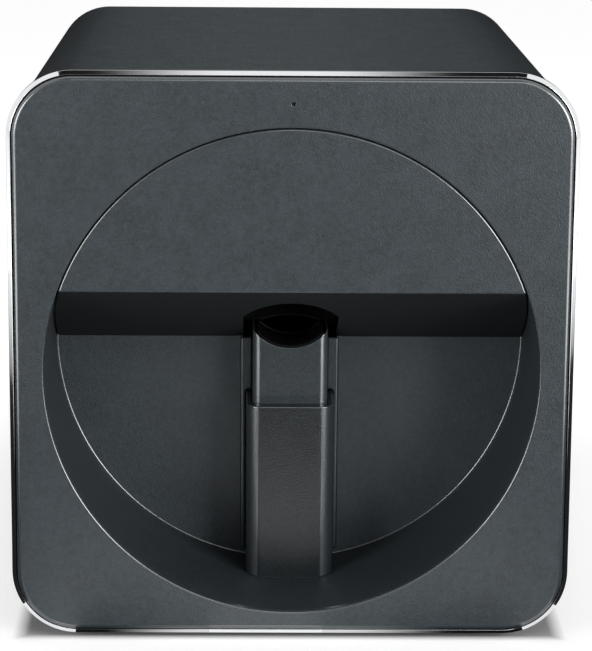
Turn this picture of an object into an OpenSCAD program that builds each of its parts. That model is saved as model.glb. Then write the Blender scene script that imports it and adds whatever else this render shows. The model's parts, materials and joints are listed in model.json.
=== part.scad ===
// Desktop nail art printer. Millimetres. The front faces -Y, +X is to the viewer's right, +Z is up.
// The origin is on the table under the middle of the case.

/* [Case] */
// Width over the front trim
case_w = 206; // [204:0.5:216]
// Height of the front trim
case_h = 210; // [209:0.5:218]
// Depth from the front panel's face to the back panel's face
case_d = 256; // [254:1:275]
// Corner radius of the trim's outline
corner_r = 24; // [22:0.5:27]
// Gap between the table and the trim
foot_h = 3; // [2:0.5:6]
// Wall of the wrap-round cover
case_wall = 2.5; // [2:0.1:2.6]
// How far the trim stands proud of the cover
trim_over = 1.5; // [1:0.1:2]
// Thickness of the base plate's upper layer
base_t = 2; // [1.5:0.1:2.4]
// Thickness of the back panel and its door
rear_t = 4; // [3.6:0.1:5]
// Radius of a rubber foot
foot_r = 8; // [6:0.5:10]
// Distance of each foot from the case's front and back
foot_inset = 28; // [24:1:40]

/* [Front] */
// Thickness of the front panel
panel_t = 2.5; // [2:0.1:3]
// Width of trim seen round the panel
panel_margin = 3.2; // [3:0.1:4]
// Gap round the panel
panel_gap = 0.3; // [0.2:0.05:0.4]
// Set-back of the trim's front lip behind the panel's face
trim_setback = 1.7; // [1.2:0.1:1.9]
// Width of the trim's chamfer
trim_chamfer = 1.8; // [1.2:0.1:2]
// Depth of the trim's chamfer
trim_chamfer_d = 1.3; // [0.8:0.1:1.6]
// Depth of the trim's outer band behind the chamfer
trim_band = 3; // [2:0.5:5]
// Distance of the indicator hole below the trim's upper edge
status_drop = 11.5; // [11:0.5:13]
// Radius of the indicator hole
status_r = 0.8; // [0.6:0.1:1.2]

/* [Hand well] */
// Gap between the round opening and the trim's sides
recess_side = 12.6; // [12.2:0.1:15]
// Gap between the opening and the trim's lower edge
recess_low = 9.1; // [8.6:0.1:10.6]
// Gap between the opening and the trim's upper edge
recess_high = 20.1; // [19.6:0.1:22]
// Depth of the well behind the panel's face
recess_d = 68; // [66:0.5:72]
// Thickness of the well's round wall
well_wall = 2.6; // [2:0.1:2.8]
// Thickness of the well's back plate
back_t = 2.5; // [2:0.1:3]
// Width of the slot in the back plate
slot_w = 36.6; // [36:0.1:38]
// Depth of the channel behind the slot
channel_d = 33; // [32:0.5:34]

/* [Hood] */
// Height of the hood's straight edge above the opening's centre
hood_rise = 30.5; // [28.5:0.5:34.5]
// How far below the opening's centre the slanted ceiling ends
ceiling_drop = 0.7; // [-0.5:0.1:3.5]
// Thickness of the slanted ceiling
ceiling_t = 2.5; // [2:0.1:3]
// Gap between the hood and the panel
hood_gap = 0.4; // [0.3:0.05:0.6]
// Width of the finger tunnel
tunnel_w = 36; // [34:0.5:37]
// Height of the tunnel's crown above the opening's centre
tunnel_rise = 23.2; // [21.5:0.1:24.5]
// Radius of the tunnel's arched top
tunnel_r = 21.8; // [20.5:0.1:24]
// Wall of the tunnel
liner_t = 2; // [1.6:0.1:2.2]
// Crown of the nail stop's arch above the opening's centre
stop_rise = 7.5; // [6.5:0.1:8.5]
// Radius of the nail stop's arch
stop_r = 34.2; // [30:0.2:40]
// Thickness of the nail stop
stop_t = 2; // [1.6:0.1:2.4]

/* [Finger rest] */
// Width of the lower sleeve
sleeve_w = 33.5; // [33:0.1:35]
// How far the sleeve's rim is below the opening's centre
sleeve_drop = 22; // [18:0.5:27]
// Set-back of the sleeve's front behind the panel's face
sleeve_set = 40; // [38:0.5:41]
// Radius of the sleeve's front edges
sleeve_edge_r = 6; // [4:0.5:7]
// Width of the rest's column
rest_w = 28.6; // [27:0.1:29]
// Set-back of the column's front behind the panel's face
rest_set = 45.5; // [45:0.1:47]
// Radius of the column's front edges
rest_edge_r = 4.5; // [3:0.5:6]
// Height of the column's tips above the opening's centre
rest_rise = 6.5; // [5.5:0.1:6.9]
// Depth of the column
rest_d = 22; // [20:0.5:22.5]
// Length of the column
rest_len = 56; // [52:1:60]
// Height of the groove's bottom above the opening's centre
groove_rise = 0.8; // [-0.5:0.1:1.5]
// Radius of the finger groove
groove_r = 17; // [15:0.5:19]
// Thickness of the groove's lining
pad_t = 1; // [0.6:0.1:1.4]
// Width of the arm behind the nail stop
arm_w = 19; // [17:0.5:19.5]
// Length of the arm behind the nail stop
arm_len = 30; // [28:0.5:31]
// Thickness of the arm under its groove
arm_t = 9; // [6:0.5:12]
// Travel of the finger rest
rest_travel = 12; // [10:0.5:13]
// Sliding gap round the rest's column
rest_gap = 0.3; // [0.25:0.05:0.4]
// Length of the spring under the column
spring_len = 26; // [25:0.5:28]

/* [Print drive] */
// Radius of the guide rods
rod_r = 3; // [2.5:0.1:3.4]
// Running gap of a rod in its bush
rod_fit = 0.05; // [0.02:0.01:0.08]
// Outer radius of the bushes
bush_r = 5; // [4.6:0.1:5.4]
// Height of the lower cross rod above the tunnel's crown
rod_low_rise = 16.3; // [15.3:0.1:17.3]
// Distance of the upper cross rod below the side rods
rod_high_drop = 12; // [11:0.5:13]
// Distance of the side rods below the trim's upper edge
side_rod_drop = 23; // [22:0.5:23]
// Distance of the side rods from the side frames
side_rod_in = 8; // [7.5:0.1:8.5]
// Distance of the cross rods behind the well's back, at home
gantry_home = 18; // [17.5:0.1:18.5]
// Travel of the gantry towards the front
gantry_travel = 28; // [24:0.5:28]
// Width of the carriage
carriage_w = 42; // [41:0.5:42.5]
// Gap between the parked carriage and the right gantry block
park_gap = 3; // [3:0.5:5]
// Height of the nozzle's face above the opening's centre
nozzle_rise = 9.5; // [9.5:0.1:10.5]
// Width of the ink cartridge
cartridge_w = 36; // [34:0.5:36.5]
// Radius of the belt's inner side on a pulley
belt_r = 6.3; // [6:0.1:6.6]
// Thickness of the belt
belt_t = 1.2; // [0.9:0.1:1.5]
// Width of the belt
belt_w = 5; // [4:0.5:5.4]
// Radius of the lead screw
screw_r = 2.5; // [2:0.1:3]
// Height of the lead screw above the opening's centre
screw_rise = 25.5; // [25:0.1:26]
// Radius of the belt's motor
x_motor_r = 11; // [9:0.5:11]
// Radius of the lead screw's motor
y_motor_r = 9.5; // [8:0.5:9.5]

/* [Back] */
// Width of the door's opening
door_w = 100; // [90:1:120]
// Distance of the door's opening below the trim's upper edge
door_drop = 25; // [23:1:29]
// Height of the door's opening
door_h = 78; // [70:1:80]
// Gap round the door
door_gap = 0.3; // [0.25:0.05:0.5]
// Radius of the power button
button_r = 6; // [5:0.5:8]
// Travel of the power button
button_travel = 1.5; // [1:0.1:1.8]
// Number of air slots on each side of the back
vent_count = 8; // [4:1:10]
// Width of an air slot
vent_w = 2.5; // [1.5:0.1:3]

/* [Colours] */
// Casing
case_colour = "#464b4e"; // [#464b4e, #303437, #8a8f92]
// Chrome trim
trim_colour = "#c9cdd0"; // [#c9cdd0, #9a9ea1, #d8c48a]
// Inner mouldings
inner_colour = "#2a2c2e"; // [#2a2c2e, #55595c, #15171a]

/* [Hidden] */
$fn = 96;
eps = 0.01;
far = 400;

// Case: planes and outlines
front_y = -case_d / 2;
rear_y = case_d / 2;
mid_z = foot_h + case_h / 2;
top_z = foot_h + case_h;
cover_bottom = foot_h + trim_over;
cover_side = case_w / 2 - trim_over;
panel_back = front_y + panel_t;
trim_edge = front_y + trim_setback + trim_chamfer_d;
cover_front = trim_edge + trim_band;
trim_sleeve_r = corner_r - trim_over - case_wall - 0.2;
trim_sleeve_t = 2;
trim_sleeve_end = cover_front + 6;
rear_face = rear_y - rear_t;
base_half = case_w / 2 - 33;
base_lap = 8;
base_front = trim_sleeve_end + 2;
base_low = cover_bottom + case_wall;
base_top = base_low + base_t;
part_gap = 0.3;

// Screws: one small pan-head size throughout
screw_head_r = 2.8;
screw_head_t = 1.6;
screw_shank_r = 1.4;
pilot_r = 1.45;

// Hand well: the opening fills the front's width or height, whichever is less
recess_r = min(case_w / 2 - recess_side, (case_h - recess_low - recess_high) / 2);
recess_z = foot_h + recess_low + recess_r;
status_z = top_z - status_drop;
well_r = recess_r + well_wall;
recess_back = front_y + recess_d;
hood_z = recess_z + hood_rise;
ceiling_z = recess_z - ceiling_drop;
ceiling_slope = (hood_z - ceiling_z) / recess_d;
ceiling_v = ceiling_t * sqrt(1 + ceiling_slope * ceiling_slope);
well_over = 4;
slot_floor = recess_z - recess_r + 4;
channel_end = recess_back + back_t + channel_d;
channel_wall = 2;
nozzle_z = recess_z + nozzle_rise;
channel_top = nozzle_z - 11;
boss_r = 3.6;
boss_reach = 3.0;
boss_len = 10;
well_boss_angles = [-20, -52, -128, -160];
hood_flange_t = 2;
hood_screw_angles = [35, 62, 118, 145];
hood_screw_reach = 3.5;
screw_bite = 1.3;

// Tunnel and nail stop
tunnel_z = recess_z + tunnel_rise;
tunnel_axis_z = tunnel_z - tunnel_r;
liner_lip = 1;
stop_z = recess_z + stop_rise;
stop_low = stop_z - 3;
light_half = tunnel_w / 2 - 3;

// Finger rest
sleeve_front = front_y + sleeve_set;
sleeve_top = recess_z - sleeve_drop;
sleeve_back = recess_back + back_t + 2.5;
rest_front = front_y + rest_set;
rest_back = rest_front + rest_d;
rest_top = recess_z + rest_rise;
rest_bottom = rest_top - rest_len - 3;
rest_mid_y = (rest_front + rest_back) / 2;
groove_z = recess_z + groove_rise;
groove_axis_z = groove_z + groove_r;
pad_gap = 0.05;
pad_half = rest_w / 2 - 1.7;
arm_end = recess_back + back_t + arm_len;
arm_top = groove_axis_z - sqrt(groove_r * groove_r - arm_w * arm_w / 4) - 0.2;
pocket_floor = rest_bottom - spring_len;
post_r = 3.5;
post_h = 10;
spring_r = 6;
spring_wire = 1.2;
pin_r = 1.5;
pin_z = rest_bottom + rest_travel;

// Print drive
block_half_y = 9;
frame_in = well_r + 1;
side_rod_x = frame_in - side_rod_in;
side_rod_z = top_z - side_rod_drop;
rod_high_z = side_rod_z - rod_high_drop;
rod_low_z = tunnel_z + rod_low_rise;
screw_z = recess_z + screw_rise;
gantry_y = recess_back + gantry_home;
frame_t = 2.5;
frame_front = gantry_y - gantry_travel - block_half_y - 7;
frame_back = gantry_y + 72;
lug_t = 5;
lug_gap = 2;
lug_front = gantry_y - gantry_travel - block_half_y - lug_gap - lug_t;
lug_back = gantry_y + block_half_y + 5;
frame_top = side_rod_z + 7;
block_out = side_rod_x + 6;
block_in_left = block_out - 24;
block_in_right = block_out - 16;
block_top = side_rod_z + 7;
block_bottom = rod_low_z - 6;
screw_x = side_rod_x - 2;
screw_block_z = screw_z - 6;
rod_end = block_out - 4;
x_motor_x = 12 - block_out;
idler_x = block_out - 8;
idler_pin_r = 2;
nut_r = 4;
park_x = block_in_right - park_gap - carriage_w / 2;
belt_z = (rod_low_z + rod_high_z) / 2;
belt_front = gantry_y - block_half_y - 4.5;
pulley_r = belt_r - part_gap;
shaft_r = 1.5;
carriage_front = gantry_y - 8;
carriage_back = frame_back;
carriage_floor = 2.5;
cartridge_z = tunnel_z + liner_t + liner_lip + 0.8 + carriage_floor + 0.2;
cartridge_top = rod_high_z + 8;
cartridge_y = gantry_y + 9.5;
cartridge_end = gantry_y + 74;
nozzle_y = gantry_y + 22;
snout_half_x = 12;
snout_half_y = 6;
latch_y = gantry_y + 11;
latch_z = cartridge_top + 2.2;
latch_half = 14;
latch_pin_r = 1.2;
cap_t = 2.7;

// Camera: looks down and back at the nail
camera_y = front_y + 25;
camera_z = recess_z + recess_r - 16.9;
camera_tilt = 42;

// Main board and heat sink
board_half = frame_in - 38;
board_front = channel_end + 40.5;
board_back = rear_face - 16;
board_z = base_top + 4;
board_t = 1.6;
board_top = board_z + board_t;
sink_half = 16;
sink_front = board_front + 30;
sink_back = board_back - 30;
sink_h = 16;
fin_t = 1.5;
fin_pitch = 4.3;

// Back
door_top = top_z - door_drop;
door_z = door_top - door_h;
catch_z = door_top - door_gap - 6;
door_axis_z = door_z + door_gap + rear_t / 2;
door_axis_y = rear_face + rear_t / 2;
door_pin_r = 1;
button_x = case_w / 2 - 41;
button_z = foot_h + 37;
button_sink = 0.5;
jack_x = -button_x;
jack_z = button_z;
vent_h = 34;
vent_z = button_z - 10;
vent_pitch = 4.6;
rear_boss_r = 5;
rear_boss_off = 16 / sqrt(2);

// Helpers ---------------------------------------------------------------------------------------

// Extrudes a front-view outline (x, z) from y0 to y1
module along_y(y0, y1) translate([0, y1, 0]) rotate([90, 0, 0]) linear_extrude(y1 - y0) children();

// Extrudes a side-view outline (y, z) from x0 to x1
module along_x(x0, x1) translate([x0, 0, 0]) rotate([90, 0, 90]) linear_extrude(x1 - x0) children();

// Box between two corners
module box(a, b) translate(a) cube(b - a);

// Round bar along Y
module bar_y(r, x, z, y0, y1) translate([x, y1, z]) rotate([90, 0, 0]) cylinder(r = r, h = y1 - y0);

// Round bar along X
module bar_x(r, y, z, x0, x1) translate([x0, y, z]) rotate([0, 90, 0]) cylinder(r = r, h = x1 - x0);

// Outline of the case's front, drawn in by a distance
module case_outline(inset) {
    w = case_w - 2 * inset;
    h = case_h - 2 * inset;
    r = corner_r - inset;
    translate([0, mid_z]) {
        square([w - 2 * r, h], center = true);
        square([w, h - 2 * r], center = true);
        for (sx = [-1, 1], sz = [-1, 1]) translate([sx * (w / 2 - r), sz * (h / 2 - r)]) circle(r);
    }
}

// Sweeps a section round the case's outline: x runs out from the corner's centre, y runs to the front
module outline_sweep() {
    cx = case_w / 2 - corner_r;
    cz = case_h / 2 - corner_r;
    translate([0, 0, mid_z]) rotate([90, 0, 0]) for (k = [0:3]) {
        a = k % 2 == 0 ? cx : cz;
        b = k % 2 == 0 ? cz : cx;
        rotate(90 * k) translate([a, b, 0]) {
            rotate([90, 0, 0]) linear_extrude(2 * b) children();
            rotate_extrude(angle = 90) children();
        }
    }
}

// Front-view outline of the finger tunnel, grown by a distance
module tunnel_outline(grow) intersection() {
    translate([-tunnel_w / 2 - grow, stop_low - 20]) square([tunnel_w + 2 * grow, 80]);
    union() {
        translate([0, tunnel_axis_z]) circle(tunnel_r + grow);
        translate([-far / 2, -far + tunnel_axis_z + 8]) square([far, far]);
    }
}

// Side-view outline of everything under the ceiling's plane raised by a distance
module under_ceiling(raise) polygon([
    [front_y - 1, 0],
    [front_y - 1, hood_z + ceiling_slope + raise],
    [recess_back + 60, ceiling_z - 60 * ceiling_slope + raise],
    [recess_back + 60, 0]
]);

// Pan-head screw along +Z, head below
module screw(len) {
    cylinder(r = screw_head_r, h = screw_head_t);
    translate([0, 0, screw_head_t]) cylinder(r = screw_shank_r, h = len);
}

// Places along the boss ring round the well
module around_well(angles) for (a = angles)
    translate([(well_r + boss_reach) * cos(a), 0, recess_z + (well_r + boss_reach) * sin(a)]) children();

// Casing ----------------------------------------------------------------------------------------

module front_panel() color(case_colour) difference() {
    along_y(front_y, panel_back) difference() {
        case_outline(panel_margin);
        translate([0, recess_z]) circle(recess_r);
    }
    bar_y(status_r, 0, status_z, front_y - 1, panel_back + 1);
    hood_screw_places() bar_y(pilot_r, 0, 0, panel_back - screw_bite - 0.1, panel_back + 1);
    around_well(well_boss_angles) bar_y(pilot_r, 0, 0, panel_back - screw_bite - 0.1, panel_back + 1);
}

module trim_ring() color(trim_colour) {
    lip_r = corner_r - panel_margin + panel_gap;
    sleeve_in = trim_sleeve_r - trim_sleeve_t;
    outline_sweep() polygon([
        [corner_r - trim_chamfer, -front_y - trim_setback],
        [corner_r, -trim_edge],
        [corner_r, -cover_front],
        [trim_sleeve_r, -cover_front],
        [trim_sleeve_r, -trim_sleeve_end],
        [sleeve_in, -trim_sleeve_end],
        [sleeve_in, -panel_back],
        [lip_r, -panel_back],
        [lip_r, -front_y - trim_setback]
    ]);
}

// Bosses for the back panel's screws, inside the cover's corners
module rear_boss_places() for (sx = [-1, 1], sz = [-1, 1]) translate([
    sx * (case_w / 2 - corner_r + rear_boss_off), 0,
    mid_z + sz * (case_h / 2 - corner_r + rear_boss_off)
]) children();

module wrap_cover() color(case_colour) difference() {
    union() {
        along_y(cover_front, rear_face) difference() {
            case_outline(trim_over);
            case_outline(trim_over + case_wall);
        }
        intersection() {
            rear_boss_places() bar_y(rear_boss_r, 0, 0, rear_face - 12, rear_face);
            along_y(rear_face - 12, rear_face) case_outline(trim_over + case_wall / 2);
        }
    }
    rear_boss_places() bar_y(pilot_r, 0, 0, rear_face - 10, rear_face + 1);
    box([-base_half, base_front, 0], [base_half, rear_y, base_low + 1]);
    base_screw_places() translate([0, 0, cover_bottom - 1])
        cylinder(r = screw_head_r + 0.1, h = 1 + screw_head_t);
    base_screw_places() translate([0, 0, cover_bottom]) cylinder(r = pilot_r, h = case_wall + 1);
}

module base_screw_places() for (sx = [-1, 1], f = [0.08, 0.5, 0.92])
    translate([sx * (base_half + base_lap / 2), base_front + f * (rear_face - base_front), 0]) children();

module board_post_places() for (sx = [-1, 1], y = [board_front + 6, board_back - 6])
    translate([sx * (board_half - 6), y, 0]) children();

module base_plate() color(inner_colour) difference() {
    union() {
        box([-base_half + part_gap, base_front + part_gap, cover_bottom],
            [base_half - part_gap, rear_face, base_low]);
        box([-base_half - base_lap, base_front + part_gap, base_low],
            [base_half + base_lap, rear_face, base_top]);
        board_post_places() translate([0, 0, base_top]) cylinder(r = 3, h = board_z - base_top);
    }
    base_screw_places() translate([0, 0, base_low - 1]) cylinder(r = screw_shank_r, h = base_t + 2);
    board_post_places() translate([0, 0, base_low]) cylinder(r = 1, h = far / 10);
}

module rubber_feet() color("#1c1d1e")
    for (sx = [-1, 1], y = [front_y + foot_inset, rear_y - foot_inset])
        translate([sx * (base_half - foot_r - 4), y, 0]) cylinder(r = foot_r, h = cover_bottom);

module base_screws() color("#8e9296") base_screw_places()
    translate([0, 0, cover_bottom]) screw(base_top - cover_bottom - screw_head_t);

// Back ------------------------------------------------------------------------------------------

module vent_places() for (sx = [-1, 1], i = [0:vent_count - 1])
    translate([sx * (8 + vent_w / 2 + i * vent_pitch), 0, vent_z]) children();

module rear_panel() color(case_colour) difference() {
    union() {
        along_y(rear_face, rear_y) case_outline(trim_over);
        bar_y(button_r + 3.6, button_x, button_z, rear_face - 12, rear_face);
    }
    box([-door_w / 2, rear_face - 1, door_z], [door_w / 2, rear_y + 1, door_top]);
    bar_x(door_pin_r, door_axis_y, door_axis_z, -door_w / 2 - 5, door_w / 2 + 5);
    vent_places() box([-vent_w / 2, rear_face - 1, 0], [vent_w / 2, rear_y + 1, vent_h]);
    bar_y(button_r + 0.3, button_x, button_z, rear_face - 1, rear_y + 1);
    bar_y(button_r + 1.9, button_x, button_z, rear_face - 13, rear_face);
    bar_y(3.4, jack_x, jack_z, rear_face - 1, rear_y + 1);
    rear_boss_places() bar_y(pilot_r, 0, 0, rear_face - 1, rear_y + 1);
    rear_boss_places() bar_y(screw_head_r + 0.2, 0, 0, rear_y - screw_head_t - 0.2, rear_y + 1);
}

module rear_screws() color("#8e9296") rear_boss_places()
    translate([0, rear_y - 0.2, 0]) rotate([90, 0, 0]) screw(rear_t + 5);

module rear_door() color(case_colour) {
    half = door_w / 2 - door_gap;
    top = door_top - door_gap;
    difference() {
        union() {
            box([-half, rear_face, door_axis_z], [half, rear_y, top]);
            bar_x(rear_t / 2, door_axis_y, door_axis_z, -half, half);
            box([-8, rear_face - 3, top - 9], [8, rear_face, top - 3]);
        }
        bar_x(door_pin_r + rod_fit, door_axis_y, door_axis_z, -half - 1, -half + 8);
        bar_x(door_pin_r + rod_fit, door_axis_y, door_axis_z, half - 8, half + 1);
        box([-14, rear_y - 1.2, top - 8], [14, rear_y + 1, top + 1]);
        bar_y(3, 0, catch_z, rear_face - 4, rear_face - 1.5);
    }
}

module door_pins() color("#8e9296") for (m = [0, 1]) mirror([m, 0, 0])
    bar_x(door_pin_r, door_axis_y, door_axis_z, door_w / 2 - 7, door_w / 2 + 5);

module catch_plate() color("#8e9296") bar_y(2.9, 0, catch_z, rear_face - 3, rear_face - 1.6);

module catch_magnet() color("#5c6064") {
    box([-6, rear_face - 8, catch_z - 3], [6, rear_face - 3.3, catch_z + 3]);
    box([-6, rear_face - 8, catch_z - 3], [6, rear_face - 6, door_top + 6]);
    box([-6, rear_face - 8, door_top + 2], [6, rear_face, door_top + 6]);
}

module power_button() color("#2b2d2f") {
    bar_y(button_r, button_x, button_z, rear_face - 3, rear_y - button_sink);
    bar_y(button_r + 1.6, button_x, button_z, rear_face - 5, rear_face - part_gap);
}

module power_switch() color("#17181a") {
    bar_y(button_r + 3.6, button_x, button_z, rear_face - 14, rear_face - 12);
    bar_y(button_r - 1, button_x, button_z, rear_face - 12, rear_face - 5.3 - button_travel);
}

module power_jack() color("#17181a") difference() {
    union() {
        box([jack_x - 6, rear_face - 13, jack_z - 6], [jack_x + 6, rear_face, jack_z + 6]);
        bar_y(3.3, jack_x, jack_z, rear_face, rear_y - 0.3);
    }
    difference() {
        bar_y(2.75, jack_x, jack_z, rear_face - 10, rear_y + 1);
        bar_y(1, jack_x, jack_z, rear_face - 11, rear_face);
    }
}

// Indicator -------------------------------------------------------------------------------------

module status_lens() color("#202224") {
    bar_y(status_r - 0.05, 0, status_z, front_y + 0.3, panel_back);
    bar_y(2, 0, status_z, panel_back, panel_back + 2);
}

module status_board() color("#1f5a3a") {
    box([-12, panel_back + 2, status_z - 5], [12, panel_back + 2 + board_t, status_z + 4]);
    for (sx = [-1, 1]) bar_y(1.6, sx * 9, status_z - 0.5, panel_back, panel_back + 2);
}

// Hand well and hood ----------------------------------------------------------------------------

module sleeve_outline(w, edge, y0, y1) {
    translate([-w / 2, y0 + edge]) square([w, y1 - y0 - edge]);
    translate([-w / 2 + edge, y0]) square([w - 2 * edge, edge + eps]);
    for (sx = [-1, 1]) translate([sx * (w / 2 - edge), y0 + edge]) circle(edge);
}

module hand_well() color(case_colour) difference() {
    union() {
        intersection() {
            union() {
                difference() {
                    bar_y(well_r, 0, recess_z, panel_back, recess_back + back_t);
                    bar_y(recess_r, 0, recess_z, panel_back - 1, recess_back);
                }
                difference() {
                    around_well(well_boss_angles) bar_y(boss_r, 0, 0, panel_back, panel_back + boss_len);
                    bar_y(recess_r + well_wall / 2, 0, recess_z, panel_back - 1, panel_back + boss_len + 1);
                    around_well(well_boss_angles)
                        bar_y(pilot_r, 0, 0, panel_back - 1, panel_back + boss_len + 1);
                }
            }
            along_x(-far / 2, far / 2) under_ceiling(well_over);
        }
        box([-slot_w / 2 - channel_wall, recess_back + back_t, slot_floor - channel_wall],
            [slot_w / 2 + channel_wall, channel_end, channel_top]);
    }
    box([-slot_w / 2, recess_back - 1, slot_floor], [slot_w / 2, channel_end - channel_wall, far]);
}

module well_screws() color("#8e9296") around_well(well_boss_angles)
    translate([0, panel_back + boss_len + screw_head_t, 0]) rotate([90, 0, 0]) screw(boss_len + screw_bite);

module hood_shell() color(case_colour) difference() {
    union() {
        along_y(front_y, panel_back) intersection() {
            translate([0, recess_z]) circle(recess_r - hood_gap);
            translate([-far / 2, hood_z]) square([far, far]);
        }
        along_y(panel_back, panel_back + hood_flange_t) intersection() {
            translate([0, recess_z]) difference() {
                circle(recess_r + hood_screw_reach + 3);
                circle(recess_r - 5);
            }
            translate([-far / 2, hood_z + well_over + ceiling_v + 3]) square([far, far]);
            case_outline(corner_r - trim_sleeve_r + trim_sleeve_t + part_gap);
        }
        intersection() {
            bar_y(recess_r - hood_gap, 0, recess_z, front_y, recess_back);
            along_x(-far / 2, far / 2) difference() {
                under_ceiling(ceiling_v);
                under_ceiling(0);
            }
        }
    }
    along_y(front_y - 1, recess_back + 1) tunnel_outline(liner_t + part_gap / 2);
    hood_screw_places() bar_y(pilot_r, 0, 0, panel_back - 1, panel_back + 9);
}

module hood_screw_places() for (a = hood_screw_angles) translate([
    (recess_r + hood_screw_reach) * cos(a), 0, recess_z + (recess_r + hood_screw_reach) * sin(a)
]) children();

module hood_screws() color("#8e9296") hood_screw_places()
    translate([0, panel_back + hood_flange_t + screw_head_t, 0])
        rotate([90, 0, 0]) screw(hood_flange_t + screw_bite);

module tunnel_liner() color(case_colour) difference() {
    union() {
        along_y(front_y, recess_back) tunnel_outline(liner_t);
        along_y(recess_back - 2, recess_back) tunnel_outline(liner_t + liner_lip);
    }
    along_y(front_y - 1, recess_back + 1) tunnel_outline(0);
    along_x(-far / 2, far / 2) under_ceiling(0);
    box([-far / 2, recess_back - 2 - eps, 0],
        [far / 2, recess_back + 1, ceiling_z + ceiling_v + 2 * ceiling_slope + part_gap]);
    box([-far / 2, front_y - 1, 0], [far / 2, front_y + panel_t, far]);
}

module nail_stop() color(case_colour) along_y(recess_back, recess_back + stop_t) difference() {
    intersection() {
        tunnel_outline(liner_t + liner_lip);
        translate([-far / 2, stop_low]) square([far, far]);
    }
    translate([0, stop_z - stop_r]) circle(stop_r);
}

// Finger rest -----------------------------------------------------------------------------------

module finger_sleeve() color(case_colour) difference() {
    intersection() {
        linear_extrude(sleeve_top) sleeve_outline(sleeve_w, sleeve_edge_r, sleeve_front, sleeve_back);
        union() {
            bar_y(recess_r - 0.05, 0, recess_z, sleeve_front - 1, recess_back);
            box([-slot_w / 2, recess_back - 1, slot_floor + 0.05], [slot_w / 2, sleeve_back + 1, far]);
        }
    }
    box([-rest_w / 2 - rest_gap, rest_front - rest_gap, pocket_floor],
        [rest_w / 2 + rest_gap, rest_back + rest_gap, sleeve_top + 1]);
    bar_x(pin_r, rest_mid_y, pin_z, -sleeve_w / 2 - 1, sleeve_w / 2 + 1);
}

module finger_rest() color(case_colour) difference() {
    union() {
        translate([0, 0, rest_bottom]) linear_extrude(rest_top - rest_bottom)
            sleeve_outline(rest_w, rest_edge_r, rest_front, rest_back);
        box([-arm_w / 2, rest_back - 1, groove_z - arm_t], [arm_w / 2, arm_end, arm_top]);
    }
    bar_y(groove_r + pad_t, 0, groove_axis_z, rest_front - 1, arm_end + 1);
    box([-rest_w / 2 - 1, rest_mid_y - pin_r - rest_gap, pin_z - pin_r - rest_gap],
        [rest_w / 2 + 1, rest_mid_y + pin_r + rest_gap, pin_z + pin_r + rest_travel + rest_gap]);
}

module finger_pad() color("#0b0b0c") intersection() {
    difference() {
        bar_y(groove_r + pad_t - pad_gap, 0, groove_axis_z, rest_front, arm_end);
        bar_y(groove_r, 0, groove_axis_z, rest_front - 1, arm_end + 1);
    }
    union() {
        box([-pad_half, rest_front, groove_z - 3], [pad_half, rest_back, rest_top - 0.2]);
        box([-arm_w / 2, rest_back - 1, groove_z - 3], [arm_w / 2, arm_end, arm_top - 0.1]);
    }
}

module rest_spring() color("#a5a9ad") translate([0, rest_mid_y, pocket_floor]) difference() {
    cylinder(r = spring_r, h = rest_bottom - pocket_floor);
    translate([0, 0, -1]) cylinder(r = spring_r - spring_wire, h = rest_bottom - pocket_floor + 2);
}

module spring_post() color(inner_colour)
    translate([0, rest_mid_y, pocket_floor]) cylinder(r = post_r, h = post_h);

module stop_pin() color("#8e9296") bar_x(pin_r, rest_mid_y, pin_z, -sleeve_w / 2 + 0.2, sleeve_w / 2 - 0.2);

// Frames ----------------------------------------------------------------------------------------

// One side frame, drawn for the right; low_lugs carries the lead screw and its motor
module side_frame(low_lugs) difference() {
    union() {
        difference() {
            along_y(frame_front, frame_back) polygon([
                [frame_in, frame_top],
                [frame_in + frame_t, frame_top],
                [frame_in + frame_t, base_top + 13],
                [frame_in - 12, base_top],
                [frame_in - 26, base_top],
                [frame_in - 26, base_top + frame_t],
                [frame_in - 13, base_top + frame_t],
                [frame_in, base_top + 14.5]
            ]);
            box([frame_in - 1, frame_front + 12, base_top + 31],
                [frame_in + frame_t + 1, frame_back - 12, screw_z - 23]);
            box([frame_in - 1, lug_back + lug_t + 12, screw_z - 13],
                [frame_in + frame_t + 1, frame_back - 10, frame_top - 15]);
            box([frame_in - 30, frame_front - 1, base_top - 1],
                [frame_in - 1, recess_back + 6, base_top + 14]);
        }
        for (y = [lug_front, lug_back]) {
            box([side_rod_x - 6, y, frame_top - 14], [frame_in + eps, y + lug_t, frame_top]);
            if (low_lugs)
                box([screw_x - y_motor_r, y, screw_z - 10], [frame_in + eps, y + lug_t, screw_z + 10]);
        }
    }
    bar_y(rod_r + rod_fit, side_rod_x, side_rod_z, frame_front - 1, lug_back + lug_t + 1);
    if (low_lugs) bar_y(screw_r + rod_fit, screw_x, screw_z, frame_front - 1, lug_back + lug_t + 1);
    frame_screw_places() translate([0, 0, base_top - 1]) cylinder(r = pilot_r, h = frame_t + 2);
}

module frame_screw_places() for (y = [recess_back + 14, frame_back - 42, frame_back - 10])
    translate([frame_in - 21, y, 0]) children();

module right_frame() color("#6b7074") side_frame(true);

module left_frame() color("#6b7074") mirror([1, 0, 0]) side_frame(false);

module frame_screws() color("#8e9296") for (m = [0, 1]) mirror([m, 0, 0]) frame_screw_places()
    translate([0, 0, base_top + frame_t + screw_head_t]) mirror([0, 0, 1]) screw(frame_t);

module y_rods() color("#b9bdc1") for (sx = [-1, 1])
    bar_y(rod_r, sx * side_rod_x, side_rod_z, lug_front, lug_back + lug_t);

// Gantry ----------------------------------------------------------------------------------------

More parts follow.
